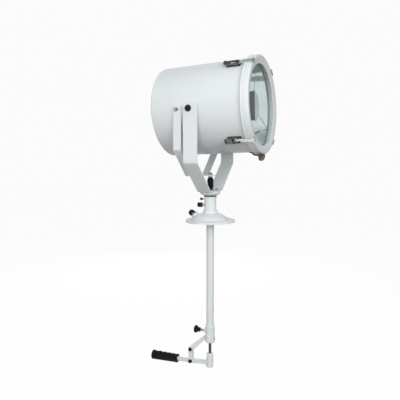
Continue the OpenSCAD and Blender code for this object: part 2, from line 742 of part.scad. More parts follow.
// Drum: rolled shell with a front rim, and a pressed rear cover
module drum_shell() {
    color(white) about_drum() polygon([
        [drum_ri, -drum_back], [drum_r, -drum_back], [drum_r, drum_front - drum_wall],
        [rim_r, drum_front - drum_wall], [rim_r, drum_front], [drum_ri, drum_front]]);
}
module rear_cover() {
    x0 = -drum_back - fit;
    e = rear_edge_r;
    skirt = 18;
    flat_r = drum_r - e;
    swell_r = (flat_r * flat_r + rear_swell * rear_swell) / (2 * rear_swell);
    half = asin(flat_r / swell_r);
    cx = x0 - e - rear_swell + swell_r;
    skirt_r = drum_ri - fit;
    color(white) about_drum() polygon(concat(
        [[skirt_r - drum_wall, skirt - drum_back], [skirt_r, skirt - drum_back], [skirt_r, x0], [drum_r, x0]],
        arc([flat_r, x0], e, -9, -81, 8),
        arc([0, cx], swell_r, half - 90, -90, 8),
        arc([0, cx], swell_r - drum_wall, -90, half - 90, 8),
        arc([flat_r - drum_wall, x0], e - drum_wall, -81, -9, 6)));
}
// Front ring: band with a bead, and a dished face round the opening
module bezel_ring() {
    color(white) about_drum() polygon([
        [bezel_ri, bezel_back], [bead_r - 0.5, bezel_back], [bead_r, bezel_back + 1], [bead_r, bezel_back + 4],
        [bezel_r, bezel_back + 6], [bezel_r, bezel_front - 4], [bezel_r - 1.2, bezel_front - 1.2],
        [bezel_r - 4, bezel_front], [dish_corner_r, bezel_front], [opening_r, bezel_front - face_dish],
        [opening_r, bezel_front - face_dish - face_t], [dish_corner_r, bezel_front - face_t],
        [bezel_ri, bezel_front - face_t]]);
}
module front_glass() {
    color([0.75, 0.85, 0.86, 0.35]) on_drum(0) translate([glass_x, 0, 0]) rotate([0, 90, 0])
        cylinder(r = glass_r, h = glass_t);
}
// Rubber ring that seats the glass between the drum's rim and the bezel
module glass_gasket() {
    inner_x = bezel_front - face_dish - face_t - gap / 2
        + (gasket_ri - opening_r) / (dish_corner_r - opening_r) * face_dish;
    color(rubber) about_drum() polygon([
        [gasket_ri, drum_front + fit], [bezel_ri - gap, drum_front + fit],
        [bezel_ri - gap, bezel_front - face_t - gap / 2], [dish_corner_r, bezel_front - face_t - gap / 2],
        [gasket_ri, inner_x], [gasket_ri, glass_x + glass_t + fit], [glass_r + fit, glass_x + glass_t + fit],
        [glass_r + fit, glass_x - fit], [gasket_ri, glass_x - fit]]);
}
module reflector_seat() {
    color(steel) about_drum() polygon([
        [dish_r + 4, dish_rim_x - dish_t - 4], [drum_ri - fit, dish_rim_x - dish_t - 4 - 10],
        [drum_ri - fit, dish_rim_x - dish_t - fit], [dish_r + 4, dish_rim_x - dish_t - fit]]);
}
// Parabolic dish with a flat round the lamp and a flange at its rim
module reflector() {
    steps = 24;
    radii = [for (k = [0:steps]) dish_flat_r + (dish_r - dish_flat_r) * k / steps];
    color([0.78, 0.84, 0.85]) difference() {
        about_drum() polygon(concat(
            [[dish_hole_r, dish_flat_x]],
            [for (r = radii) [r, vertex_x + r * r / (4 * focal)]],
            [[dish_flange_r, dish_rim_x], [dish_flange_r, dish_rim_x - dish_t]],
            [for (k = [steps:-1:0]) [radii[k] + 0.6, vertex_x - dish_t + radii[k] * radii[k] / (4 * focal)]],
            [[dish_hole_r, dish_flat_x - dish_t]]));
        reflector_screw_places() cylinder(r = 2 + fit, h = 20, center = true);
    }
}
module reflector_screw_places() {
    for (a = [45:90:315]) on_drum(a) translate([dish_rim_x, 0, dish_r + 6]) rotate([0, 90, 0]) children();
}
module reflector_screws() {
    color(steel) reflector_screw_places() {
        cylinder(r = 3.5, h = 2.2);
        translate([0, 0, -dish_t - fit]) cylinder(r = 2, h = 3);
    }
}
module lamp_holder() {
    back = dish_flat_x - dish_t - fit;
    color([0.85, 0.83, 0.78]) on_drum(0) rotate([0, 90, 0]) difference() {
        union() {
            translate([0, 0, back - 4]) cylinder(r = dish_flat_r - 3, h = 4);
            translate([0, 0, back - 38]) cylinder(r = holder_r, h = 38 + 26);
        }
        translate([0, 0, back + 6]) cylinder(r = cap_r + fit, h = 40);
    }
}
module lamp_bulb() {
    back = dish_flat_x - dish_t - fit + 6 + fit;
    globe = focus_x - 22;
    color([0.9, 0.93, 0.95, 0.6]) about_drum() polygon(concat(
        [[0, back], [cap_r, back], [cap_r, back + 26], [7, back + 30]],
        arc([bulb_r - 10, globe + 10], 10, -70, 0, 6),
        arc([bulb_r - 10, globe + bulb_l - 11], 10, 0, 70, 6),
        [[0, globe + bulb_l]]));
}
// Cup in front of the lamp that stops direct light, on three flat stays
module glare_shield() {
    color([0.6, 0.6, 0.62]) about_drum() polygon([
        [0, shield_x], [shield_r - 3, shield_x], [shield_r - 3, shield_x - stay_t - 14],
        [shield_r - 1.5, shield_x - stay_t - 14], [shield_r - 1.5, shield_x], [shield_r, shield_x],
        [shield_r, shield_x + 1.5], [0, shield_x + 1.5]]);
}
module shield_stays() {
    rim = dish_rim_x + fit + stay_t / 2;
    back = shield_x - fit - stay_t / 2;
    color(steel) for (a = [0, 120, 240]) on_drum(a) flat_along_y(6) polygon(strip(
        [[rim, dish_r + 7], [rim, dish_r - 12], [back, shield_r + 14], [back, shield_r - 1]], stay_t));
}
// Place on the tilt axis, or behind it on the lamp's own level
module at_tilt(behind) {
    head_frame() translate([-pivot_back - behind, 0, pivot_z]) children();
}
// Pads on the drum's sides for the tilt bolts and the fork pins
module side_bosses() {
    color(white) difference() {
        both_sides() {
            at_tilt(0) translate([0, -yoke_in + gap, 0]) rotate([-90, 0, 0]) cylinder(r = 20, h = 20);
            at_tilt(pin_back) translate([0, -fork_in + gap, 0]) rotate([-90, 0, 0]) cylinder(r = 11, h = 20);
        }
        on_drum(0) round_cut(drum_r + fit);
        at_tilt(0) rod_along_y(tilt_r + fit, 2 * yoke_y);
        at_tilt(pin_back) rod_along_y(pin_r + fit, 2 * yoke_y);
    }
}
module tilt_bolts() {
    head = yoke_out + gap + washer_t + fit;
    color(black) both_sides() {
        at_tilt(0) translate([0, -head - 1, 0]) rotate([-90, 0, 0]) cylinder(r = tilt_r, h = head - drum_r);
        at_tilt(0) translate([0, -head - 8, 0]) rotate([-90, 0, 0]) hex(20, 8);
    }
}
module tilt_washers() {
    color(steel) both_sides() at_tilt(0) translate([0, -yoke_out - gap - washer_t, 0]) rotate([-90, 0, 0])
        difference() {
            cylinder(r = tilt_r + 7, h = washer_t);
            translate([0, 0, -1]) cylinder(r = tilt_r + fit, h = washer_t + 2);
        }
}
module fork_pins() {
    head = fork_out + gap;
    color(black) both_sides() at_tilt(pin_back) translate([0, -head, 0]) rotate([-90, 0, 0]) {
        translate([0, 0, -1]) cylinder(r = pin_r, h = head + 1 - drum_r - gap);
        translate([0, 0, -1.2]) cylinder(r = pin_r + 4.5, h = 1.2);
        translate([0, 0, -6.5]) hex(12, 6);
    }
}
// Hinge under the bezel: bracket on the drum, lug on the ring, one pin
module hinge_bracket() {
    ear_from = lug_w / 2 + gap;
    color(steel) on_drum(180) difference() {
        union() {
            translate([bezel_back - 28, -16, drum_r - 4]) cube([24, 32, 7]);
            for (s = [-1, 1]) translate([0, s * (ear_from + 2.5), 0]) flat_along_y(5) polygon([
                [bezel_back - 24, drum_r - 1], [bezel_back - 5, drum_r - 1], [bezel_back - 5, bead_r + 1],
                [hinge_x, hinge_r - hinge_eye_r], [hinge_x, hinge_r + hinge_eye_r], [bezel_back - 9, bead_r + 4]]);
            for (s = [-1, 1]) translate([hinge_x, s * (ear_from + 2.5), hinge_r]) rod_along_y(hinge_eye_r, 5);
        }
        round_cut(drum_r + fit);
        translate([hinge_x, 0, hinge_r]) rod_along_y(hinge_pin_r + fit, 60);
    }
}
module hinge_pin() {
    reach = lug_w / 2 + gap + 5;
    color(dark_steel) on_drum(180) translate([hinge_x, 0, hinge_r]) {
        rod_along_y(hinge_pin_r, 2 * reach + 4);
        translate([0, reach + 1 + fit, 0]) rod_along_y(hinge_pin_r + 2, 2);
    }
}
module bezel_lug() {
    color(bronze) on_drum(180) difference() {
        flat_along_y(lug_w) polygon([
            [bezel_back + 7, bezel_r - 3], [bezel_front - 1, bezel_r - 3], [bezel_front + 1, bezel_r + 9],
            [bezel_front - 3, hinge_r + 15], [bezel_front - 13, hinge_r + 23], [bezel_back + 11, hinge_r + 20],
            [bezel_back + 7, hinge_r + 1]]);
        round_cut(bezel_r + fit);
        translate([hinge_x, 0, hinge_r]) rod_along_y(hinge_pin_r + run, 60);
    }
}

// Toggle latches: base with two ears, lever, and hook over the bezel
module latch_bases() {
    color(steel) for (a = latch_angles) on_drum(a) difference() {
        union() {
            translate([latch_x - latch_base_back, -latch_w / 2, drum_r - 3])
                cube([latch_base_l, latch_w, 5]);
            for (s = [-1, 1]) translate([0, s * (ear_in + ear_t / 2), 0]) {
                flat_along_y(ear_t) polygon([
                    [latch_x - 12, drum_r + 1], [latch_x + 10, drum_r + 1],
                    [latch_x + 4.5, latch_r], [latch_x - 4.5, latch_r]]);
                translate([latch_x, 0, latch_r]) rod_along_y(4.5, ear_t);
                translate([latch_x, s * (side_t / 2 + 0.5), latch_r]) rod_along_y(latch_pin_r, ear_t + side_t + 1.5);
            }
        }
        round_cut(drum_r + fit);
    }
}
module latch_lever(angle) {
    rear = latch_x - latch_l;
    plate = latch_r + 3.5;
    color(steel) on_drum(angle) difference() {
        union() {
            for (s = [-1, 1]) translate([0, s * (side_in + side_t / 2), 0]) {
                flat_along_y(side_t) polygon([
                    [latch_x, latch_r - 4.5], [latch_x, latch_r + 4.5], [rear, latch_r + 4.5], [rear, latch_r]]);
                translate([latch_x, 0, latch_r]) rod_along_y(4.5, side_t);
            }
            flat_along_y(latch_w) polygon(strip(
                [[hook_pin_x - 12, plate], [rear + 4, plate], [rear - 6, plate + 4.5]], 2));
            translate([hook_pin_x, 0, hook_pin_r]) rod_along_y(latch_pin_r, latch_w);
        }
        translate([latch_x, 0, latch_r]) rod_along_y(latch_pin_r + run, latch_w + 10);
    }
}
module latch_hook(angle) {
    lip_x = bezel_front + gap + hook_t / 2;
    color(steel) on_drum(angle) difference() {
        union() {
            flat_along_y(hook_w) polygon(strip(
                [[hook_pin_x, hook_pin_r], [latch_x + 2, hook_pin_r], [bezel_back - 2, hook_r], [lip_x, hook_r]],
                hook_t));
            translate([hook_pin_x, 0, hook_pin_r]) rod_along_y(latch_pin_r + 1.7, hook_w);
            flat_along_y(hook_bar) polygon(strip(
                [[lip_x - 6, hook_r], [lip_x, hook_r], [lip_x, bezel_r - 6]], hook_t));
        }
        translate([hook_pin_x, 0, hook_pin_r]) rod_along_y(latch_pin_r + run, hook_w + 10);
    }
}
module latch_lever_1() { latch_lever(latch_angles[0]); }
module latch_lever_2() { latch_lever(latch_angles[1]); }
module latch_lever_3() { latch_lever(latch_angles[2]); }
module latch_lever_4() { latch_lever(latch_angles[3]); }
module latch_hook_1() { latch_hook(latch_angles[0]); }
module latch_hook_2() { latch_hook(latch_angles[1]); }
module latch_hook_3() { latch_hook(latch_angles[2]); }
module latch_hook_4() { latch_hook(latch_angles[3]); }

deck_base();
support_tube();
upper_bush();
lower_bush();
tube_collar();
gland_body();
gland_nut();
gland_seal();
neck_lock_bolt();
neck_set_screw();
lock_stem();
lock_knob();
pan_tube();
turntable();
yoke();
yoke_bolts();
rod_guides();
handle_sleeve();
sleeve_screw();
fulcrum_arm();
arm_bolt();
gaiter();
push_rod();
tilt_fork();
fork_nuts();
rod_block();
block_pin();
control_link();
link_bolt();
control_lever();
hand_grip();
drum_shell();
rear_cover();
bezel_ring();
front_glass();
glass_gasket();
reflector_seat();
reflector();
reflector_screws();
lamp_holder();
lamp_bulb();
glare_shield();
shield_stays();
side_bosses();
tilt_bolts();
tilt_washers();
fork_pins();
hinge_bracket();
hinge_pin();
bezel_lug();
latch_bases();
latch_lever_1();
latch_lever_2();
latch_lever_3();
latch_lever_4();
latch_hook_1();
latch_hook_2();
latch_hook_3();
latch_hook_4();
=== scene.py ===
import json
import math

import bmesh
import bpy
from bpy.props import FloatProperty, FloatVectorProperty, IntProperty, PointerProperty
from bpy.types import Operator, Panel, PropertyGroup
from mathutils import Matrix, Vector

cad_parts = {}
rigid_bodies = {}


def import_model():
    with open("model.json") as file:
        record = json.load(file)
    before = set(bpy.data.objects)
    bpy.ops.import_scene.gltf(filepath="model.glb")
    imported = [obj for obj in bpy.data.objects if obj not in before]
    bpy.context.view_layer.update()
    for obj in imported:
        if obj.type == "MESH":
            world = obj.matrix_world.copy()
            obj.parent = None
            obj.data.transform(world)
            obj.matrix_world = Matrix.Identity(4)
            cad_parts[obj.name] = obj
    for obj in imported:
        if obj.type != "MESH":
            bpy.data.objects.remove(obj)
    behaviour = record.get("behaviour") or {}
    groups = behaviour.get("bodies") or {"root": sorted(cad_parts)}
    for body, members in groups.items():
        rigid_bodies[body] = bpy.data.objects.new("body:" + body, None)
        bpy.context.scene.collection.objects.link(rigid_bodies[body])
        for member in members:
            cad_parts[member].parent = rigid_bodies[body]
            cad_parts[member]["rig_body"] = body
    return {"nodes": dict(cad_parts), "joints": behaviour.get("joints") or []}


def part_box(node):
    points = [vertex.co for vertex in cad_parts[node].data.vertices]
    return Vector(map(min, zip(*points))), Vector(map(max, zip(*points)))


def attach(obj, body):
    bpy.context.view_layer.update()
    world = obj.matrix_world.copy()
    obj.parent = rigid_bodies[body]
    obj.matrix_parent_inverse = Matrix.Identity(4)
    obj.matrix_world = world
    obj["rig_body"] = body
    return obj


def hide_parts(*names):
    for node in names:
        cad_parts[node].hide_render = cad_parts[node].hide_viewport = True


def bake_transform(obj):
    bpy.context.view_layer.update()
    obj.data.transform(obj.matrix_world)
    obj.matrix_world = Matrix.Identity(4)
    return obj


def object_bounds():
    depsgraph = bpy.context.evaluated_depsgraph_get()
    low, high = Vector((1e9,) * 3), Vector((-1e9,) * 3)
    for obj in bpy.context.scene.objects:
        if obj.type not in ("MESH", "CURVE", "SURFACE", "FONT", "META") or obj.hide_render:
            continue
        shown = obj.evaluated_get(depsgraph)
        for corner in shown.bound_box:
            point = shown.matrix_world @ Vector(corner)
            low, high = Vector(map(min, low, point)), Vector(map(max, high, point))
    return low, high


bl_info = {
    "name": "Marine Searchlight",
    "version": (1, 0, 0),
    "blender": (4, 5, 0),
    "location": "View3D > Sidebar > Searchlight",
    "description": "Dresses the packed searchlight with finishes, fine pieces and a stage",
    "category": "Object",
}

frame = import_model()
CAD_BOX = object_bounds()
NODES = frame["nodes"]
JOINT = {joint["name"]: joint for joint in frame["joints"]}

PIVOT = Vector(JOINT["head_tilt"]["pos_m"])
LATCH_AXIS = JOINT["latch_1_open"]["axis"]
REST_TILT = math.atan(-LATCH_AXIS[0] / LATCH_AXIS[2])
# Carries a shape from a level head to the head as it stands at rest, and back
HEAD = Matrix.Translation(PIVOT) @ Matrix.Rotation(-REST_TILT, 4, "Y") @ Matrix.Translation(-PIVOT)
LEVEL = HEAD.inverted()


def span(node, axis):
    """Lowest and highest place of a CAD node along an axis."""
    low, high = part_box(node)
    return low[axis], high[axis]


def half_width(node, axis):
    """Half of a CAD node's reach along an axis."""
    low, high = span(node, axis)
    return (high - low) / 2


def head_span(node, axis):
    """Lowest and highest place of a node along an axis of the level head."""
    places = [(LEVEL @ v.co)[axis] for v in NODES[node].data.vertices]
    return min(places), max(places)


def head_radius(node):
    """Largest radius of a node about the drum's axis."""
    low, high = head_span(node, 2)
    return (high - low) / 2


DRUM_R = head_radius("rear_cover")
DRUM_Z = sum(head_span("rear_cover", 2)) / 2
GRIP_X = span("hand_grip", 0)
FULCRUM = Vector(JOINT["link_sway"]["pos_m"])
KNOB_AXIS = Vector(JOINT["lock_turn"]["pos_m"])
KNOB_X = span("lock_knob", 0)
LATCHES = (1, 2, 3, 4)
# Room between the object at rest and the floor, for the lever's lowest swing
SWING_ROOM = 0.11


# Settings that a user would change

class SearchlightColours(PropertyGroup):
    """Base colours of the finishes."""
    paint: FloatVectorProperty(
        name="Paint", description="White paint of the drum, yoke and tubes", subtype="COLOR",
        default=(0.745, 0.785, 0.80), min=0, max=1)
    steel: FloatVectorProperty(
        name="Stainless", description="Bare stainless steel of the latches", subtype="COLOR",
        default=(0.44, 0.435, 0.43), min=0, max=1)
    black: FloatVectorProperty(
        name="Black", description="Blackened bolts, grip and knob", subtype="COLOR",
        default=(0.009, 0.009, 0.010), min=0, max=1)
    gasket: FloatVectorProperty(
        name="Gasket", description="Grey rubber round the glass", subtype="COLOR",
        default=(0.74, 0.80, 0.79), min=0, max=1)
    glass: FloatVectorProperty(
        name="Glass", description="Tint of the front glass", subtype="COLOR",
        default=(0.92, 0.97, 0.965), min=0, max=1)
    mirror: FloatVectorProperty(
        name="Mirror", description="Bright metal of the reflector", subtype="COLOR",
        default=(0.95, 0.985, 0.98), min=0, max=1)
    bronze: FloatVectorProperty(
        name="Bronze", description="Hinge lug and bushes", subtype="COLOR",
        default=(0.21, 0.14, 0.085), min=0, max=1)
    shield: FloatVectorProperty(
        name="Shield", description="Grey face of the glare shield", subtype="COLOR",
        default=(0.88, 0.88, 0.90), min=0, max=1)


class SearchlightSizes(PropertyGroup):
    """Sizes of the fine details, in metres."""
    sheet_edge: FloatProperty(
        name="Sheet edge", description="Rounding of bent sheet and strap edges", unit="LENGTH",
        default=0.0009, min=0.0002, max=0.002)
    cast_edge: FloatProperty(
        name="Cast edge", description="Rounding of cast and turned edges", unit="LENGTH",
        default=0.0014, min=0.0002, max=0.003)
    small_edge: FloatProperty(
        name="Small edge", description="Rounding of bolts and latches", unit="LENGTH",
        default=0.0005, min=0.0001, max=0.001)
    turn_steps: IntProperty(
        name="Turn steps", description="Facets round a turned piece", default=128, min=32, max=256)
    grip_ribs: IntProperty(
        name="Grip ribs", description="Raised rings on the hand grip", default=31, min=2, max=40)
    grip_slope: FloatProperty(
        name="Grip slope", description="Droop of the grip at rest", subtype="ANGLE",
        default=math.radians(2.4), min=0, max=0.2)
    finger_depth: FloatProperty(
        name="Finger depth", description="Depth of the finger hollows on top of the grip", unit="LENGTH",
        default=0.0026, min=0, max=0.004)
    knob_flutes: IntProperty(
        name="Knob flutes", description="Hollows round the lock knob", default=8, min=3, max=16)
    thread_pitch: FloatProperty(
        name="Thread pitch", description="Spacing of the screw threads that show", unit="LENGTH",
        default=0.0015, min=0.0008, max=0.003)
    focal_share: FloatProperty(
        name="Focal share", description="Focal length of the reflector over its radius",
        default=0.43, min=0.3, max=0.6)


class SearchlightStage(PropertyGroup):
    """Floor, lamps and camera."""
    floor_height: FloatProperty(
        name="Floor height", description="Height of the floor, below the lowest reach of the handle",
        unit="LENGTH", default=CAD_BOX[0][2] - SWING_ROOM)
    key_power: FloatProperty(
        name="Key power", description="Power of the large lamp at the front", unit="POWER", default=41)
    fill_power: FloatProperty(
        name="Fill power", description="Power of the low lamp at the front", unit="POWER", default=33)
    back_power: FloatProperty(
        name="Back power", description="Power of the large lamp behind the object", unit="POWER",
        default=34)
    soft_light: FloatProperty(
        name="Soft light", description="Strength of the even light all round", default=0.58, min=0, max=1)
    ceiling: FloatVectorProperty(
        name="Ceiling", description="Darker tone that metal and glass show from high above",
        subtype="COLOR", default=(0.30, 0.34, 0.33), min=0, max=1)
    side: FloatVectorProperty(
        name="Side", description="Grey tone that metal and glass show from beside the object",
        subtype="COLOR", default=(0.26, 0.28, 0.28), min=0, max=1)
    bounce: FloatVectorProperty(
        name="Bounce", description="Tone of the light that the floor throws back", subtype="COLOR",
        default=(0.060, 0.048, 0.040), min=0, max=1)
    camera_distance: FloatProperty(
        name="Camera distance", description="Level distance from the pan axis", unit="LENGTH",
        default=1.96765)
    camera_height: FloatProperty(
        name="Camera height", description="Height above the deck face", unit="LENGTH", default=0.27103)
    camera_azimuth: FloatProperty(
        name="Camera azimuth", description="Where the camera stands round the object", subtype="ANGLE",
        default=math.radians(23.47))
    camera_yaw: FloatProperty(
        name="Camera yaw", description="Turn of the camera away from the pan axis", subtype="ANGLE",
        default=math.radians(1.34))
    camera_pitch: FloatProperty(
        name="Camera pitch", description="Tilt of the camera, up is positive", subtype="ANGLE",
        default=math.radians(-5.05))
    camera_lens: FloatProperty(
        name="Camera lens", description="Focal length on a 36 mm sensor", default=39.74)


def colours():
    """Settings of the colours."""
    return bpy.context.scene.searchlight_colours


def sizes():
    """Settings of the sizes."""
    return bpy.context.scene.searchlight_sizes


# Finishes

WHITE = (1, 1, 1, 1)
# Sockets of a colour Mix node, which share their names with other sockets
MIX_FACTOR, MIX_LOW, MIX_HIGH, MIX_RESULT = 0, 6, 7, 2
# Scale of the uneven gloss over that of the grain
GLOSS_SHARE = 0.23
# Black of the painted shade on the shield's near half, and the width of its edge
PAINTED_SHADE_BLACK = (0.022, 0.024, 0.025, 1)
PAINTED_SHADE_EDGE = 0.0005
GLASS_IOR = 1.47


def give(tree, socket, value):
    """Links an input socket to an output, or sets it to a plain value."""
    if isinstance(value, bpy.types.NodeSocket):
        tree.links.new(value, socket)
    else:
        socket.default_value = value


def put(tree, kind, **inputs):
    """Adds a node, with its input sockets given by name."""
    node = tree.nodes.new(kind)
    for name, value in inputs.items():
        give(tree, node.inputs[name.replace("_", " ").title()], value)
    return node


def reckoned(tree, operation, *values):
    """Result of a Math node."""
    node = tree.nodes.new("ShaderNodeMath")
    node.operation = operation
    for socket, value in zip(node.inputs, values):
        give(tree, socket, value)
    return node.outputs["Value"]


def blended(tree, fac, low, high, way="MIX"):
    """Colour that goes from low to high as fac goes from nought to one."""
    node = tree.nodes.new("ShaderNodeMix")
    node.data_type = "RGBA"
    node.blend_type = way
    for index, value in ((MIX_FACTOR, fac), (MIX_LOW, low), (MIX_HIGH, high)):
        give(tree, node.inputs[index], value)
    return node.outputs[MIX_RESULT]


def noise(tree, vector, scale, detail=3.0):
    """Soft noise from nought to one."""
    return put(tree, "ShaderNodeTexNoise", Vector=vector, Scale=scale, Detail=detail).outputs["Fac"]


def ramp(tree, fac, low, high, start=0.32, end=0.68):
    """Colour that drifts between two tones as fac rises."""
    node = put(tree, "ShaderNodeValToRGB", Fac=fac)
    for stop, place, colour in zip(node.color_ramp.elements, (start, end), (low, high)):
        stop.position = place
        stop.color = (*colour, 1)
    return node.outputs["Color"]


def spread(tree, fac, low, high):
    """Maps the middle of a noise onto a range."""
    node = put(tree, "ShaderNodeMapRange", Value=fac, From_Min=0.3, From_Max=0.7, To_Min=low, To_Max=high)
    return node.outputs["Result"]


def own_place(tree):
    """Place on the piece, in its Object coordinates."""
    return tree.nodes.new("ShaderNodeTexCoord").outputs["Object"]


def finish(name, light, dark, patch, grain, rough, bump, depth=0.0003, metal=0.0,
           stretch=(1, 1, 1), shine=0.5, clear=0.0):
    """Finish with drifting colour, uneven gloss and a fine grain, in Object coordinates."""
    material = bpy.data.materials.new(name)
    material.use_nodes = True
    tree = material.node_tree
    along = put(tree, "ShaderNodeMapping", Vector=own_place(tree), Scale=stretch).outputs["Vector"]
    relief = put(
        tree, "ShaderNodeBump", Strength=bump, Distance=depth, Height=noise(tree, along, grain, 2.0))
    values = {
        "Metallic": metal,
        "Specular IOR Level": shine,
        "Transmission Weight": clear,
        "Base Color": ramp(tree, noise(tree, along, patch), dark, light),
        "Roughness": spread(tree, noise(tree, along, grain * GLOSS_SHARE, 4.0), *rough),
        "Normal": relief.outputs["Normal"],
    }
    for socket, value in values.items():
        give(tree, tree.nodes["Principled BSDF"].inputs[socket], value)
    return material


def tone(colour, factor):
    """Colour made lighter or darker."""
    return tuple(min(1.0, c * factor) for c in colour)


def painted_shade_half(material):
    """Paints shade, black, on the side of a finish that lies towards -Y, with a crisp edge."""
    tree = material.node_tree
    base = tree.nodes["Principled BSDF"].inputs["Base Color"]
    drift = base.links[0].from_socket
    parts = put(tree, "ShaderNodeSeparateXYZ", Vector=own_place(tree))
    side = put(
        tree, "ShaderNodeMapRange", Value=parts.outputs["Y"], From_Min=-PAINTED_SHADE_EDGE, From_Max=PAINTED_SHADE_EDGE)
    give(tree, base, blended(tree, side.outputs["Result"], PAINTED_SHADE_BLACK, drift))
    return material


def make_finishes():
    """All finishes, by name."""
    c = colours()
    made = {
        "paint": finish(
            "white_paint", c.paint, tone(c.paint, 0.955), 5.5, 420, (0.27, 0.37), 0.05, 0.0002),
        "cast paint": finish(
            "white_cast_paint", c.paint, tone(c.paint, 0.93), 9.0, 260, (0.33, 0.46), 0.13, 0.0004),
        "steel": finish(
            "brushed_stainless", c.steel, tone(c.steel, 0.72), 14, 60, (0.18, 0.32), 0.12, 0.0002,
            metal=1.0, stretch=(1, 14, 14)),
        "bright steel": finish(
            "polished_strap", (0.80, 0.80, 0.79), (0.68, 0.68, 0.67), 18, 80, (0.20, 0.32), 0.08, 0.0002,
            metal=1.0, stretch=(1, 10, 10)),
        # Latch levers darkened to stand in for the dark reflections on them: painted reflection, with a
        # tone that drifts at random
        "latch steel": finish(
            "worn_latch_steel", (0.26, 0.255, 0.25), (0.075, 0.073, 0.07), 85, 240, (0.20, 0.34), 0.14,
            metal=0.9, stretch=(1, 6, 6)),
        "plated": finish(
            "bright_plating", (0.50, 0.50, 0.51), (0.38, 0.38, 0.39), 60, 300, (0.14, 0.26), 0.05,
            metal=1.0),
        "black steel": finish(
            "blackened_steel", c.black, tone(c.black, 1.8), 90, 900, (0.45, 0.62), 0.10, shine=0.22),
        "dark steel": finish(
            "oiled_steel", (0.085, 0.088, 0.092), (0.050, 0.052, 0.055), 40, 90, (0.30, 0.45), 0.10,
            metal=0.6, stretch=(10, 10, 1)),
        "rod steel": finish(
            "drawn_rod", (0.085, 0.095, 0.090), (0.060, 0.068, 0.064), 30, 120, (0.38, 0.52), 0.08,
            metal=0.2, stretch=(12, 12, 1), shine=0.35),
        "bronze": finish(
            "dull_bronze", c.bronze, tone(c.bronze, 0.45), 70, 380, (0.38, 0.58), 0.16,
            metal=0.45, shine=0.3),
        "rubber": finish(
            "black_rubber", (0.005, 0.005, 0.006), (0.010, 0.010, 0.011), 60, 1400, (0.55, 0.70), 0.18,
            shine=0.13),
        "gasket": finish(
            "grey_gasket", c.gasket, tone(c.gasket, 0.9), 30, 900, (0.30, 0.42), 0.08),
        "grip": finish(
            "grip_plastic", (0.004, 0.004, 0.005), (0.009, 0.009, 0.010), 70, 1500, (0.46, 0.60), 0.20,
            shine=0.15),
        "knob": finish(
            "knob_plastic", (0.004, 0.004, 0.005), (0.008, 0.008, 0.009), 60, 1100, (0.34, 0.46), 0.06,
            shine=0.15),
        # The shield's face gets a near half of painted shade
        "shield": painted_shade_half(finish(
            "shield_grey", c.shield, tone(c.shield, 0.88), 25, 500, (0.40, 0.52), 0.06)),
        # Black of the shield's sides, which is painted shade
        "shield shaded side": finish(
            "shield_black", (0.016, 0.018, 0.019), (0.026, 0.028, 0.030), 40, 700, (0.45, 0.6), 0.08,
            shine=0.2),
        "mirror": finish(
            "reflector_mirror", c.mirror, tone(c.mirror, 0.985), 12, 160, (0.04, 0.07), 0.0, metal=1.0),
        "ceramic": finish(
            "holder_ceramic", (0.66, 0.63, 0.56), (0.58, 0.55, 0.48), 60, 700, (0.35, 0.5), 0.08),
        "filament": finish(
            "tungsten_wire", (0.30, 0.29, 0.28), (0.20, 0.19, 0.18), 300, 2400, (0.4, 0.6), 0.2, metal=1.0),
        "glass": finish(
            "front_glass", c.glass, tone(c.glass, 0.985), 6, 30, (0.0, 0.012), 0.002, clear=1.0),
        "bulb glass": finish(
            "bulb_glass", (0.94, 0.95, 0.95), (0.90, 0.92, 0.92), 40, 200, (0.02, 0.06), 0.01, clear=1.0),
    }
    for key in ("glass", "bulb glass"):
        shader = made[key].node_tree.nodes["Principled BSDF"]
        shader.inputs["IOR"].default_value = GLASS_IOR
    return made


FINISHES = {}


def coat(name):
    """Finish of that name, made when it is first asked for."""
    if not FINISHES:
        FINISHES.update(make_finishes())
    return FINISHES[name]


# Pieces

# Angles past which an edge stays crisp
SOLID_CREASE = math.radians(32)
TURNED_CREASE = math.radians(40)
REPEATED_CREASE = math.radians(35)
# Closeness at which points of a CAD solid are one, and at which a sliver goes
SAME_POINT = 4e-6
SLIVER = 1e-6
SAME_PLANE = math.radians(0.3)
# Facets round a turned piece whose facets would show
FINE_STEPS = 192
# Radius that counts as lying on the axis
ON_AXIS = 1e-7
# Roundings of single pieces; a crisp one keeps its solid's own edges
CRISP = 0
FINE_EDGE = 0.0003
CUP_EDGE = 0.0004
BOLT_EDGE = 0.0009
LUG_EDGE = 0.0012


def add(name, mesh, *coats):
    """New object at the origin, with its finishes."""
    obj = bpy.data.objects.new(name, mesh)
    bpy.context.scene.collection.objects.link(obj)
    mesh.materials.clear()
    for key in coats:
        mesh.materials.append(coat(key))
    return obj


def ride_with(obj, node):
    """Lets a finished piece ride with a CAD node's body."""
    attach(obj, NODES[node]["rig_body"])


def settle(obj, node):
    """Lets a finished piece stand for its CAD node."""
    ride_with(obj, node)
    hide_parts(node)
    return obj


def plain(obj):
    """Applies the modifiers, which leaves a plain mesh."""
    graph = bpy.context.evaluated_depsgraph_get()
    mesh = bpy.data.meshes.new_from_object(
        obj.evaluated_get(graph), preserve_all_data_layers=True, depsgraph=graph)
    mesh.name = obj.name
    obj.modifiers.clear()
    old = obj.data
    obj.data = mesh
    bpy.data.meshes.remove(old)


def solid_copy(node, flat):
    """Mesh of a CAD solid with its loose triangles joined, and merged into whole faces where flat."""
    source = NODES[node].data
    bm = bmesh.new()
    points = [bm.verts.new(v.co) for v in source.vertices]
    for face in source.polygons:
        bm.faces.new([points[i] for i in face.vertices])
    bmesh.ops.remove_doubles(bm, verts=bm.verts[:], dist=SAME_POINT)
    bmesh.ops.dissolve_degenerate(bm, dist=SLIVER, edges=bm.edges[:])
    if flat:
        bmesh.ops.dissolve_limit(bm, angle_limit=SAME_PLANE, verts=bm.verts[:], edges=bm.edges[:])
    mesh = bpy.data.meshes.new(node)
    bm.to_mesh(mesh)
    bm.free()
    return mesh


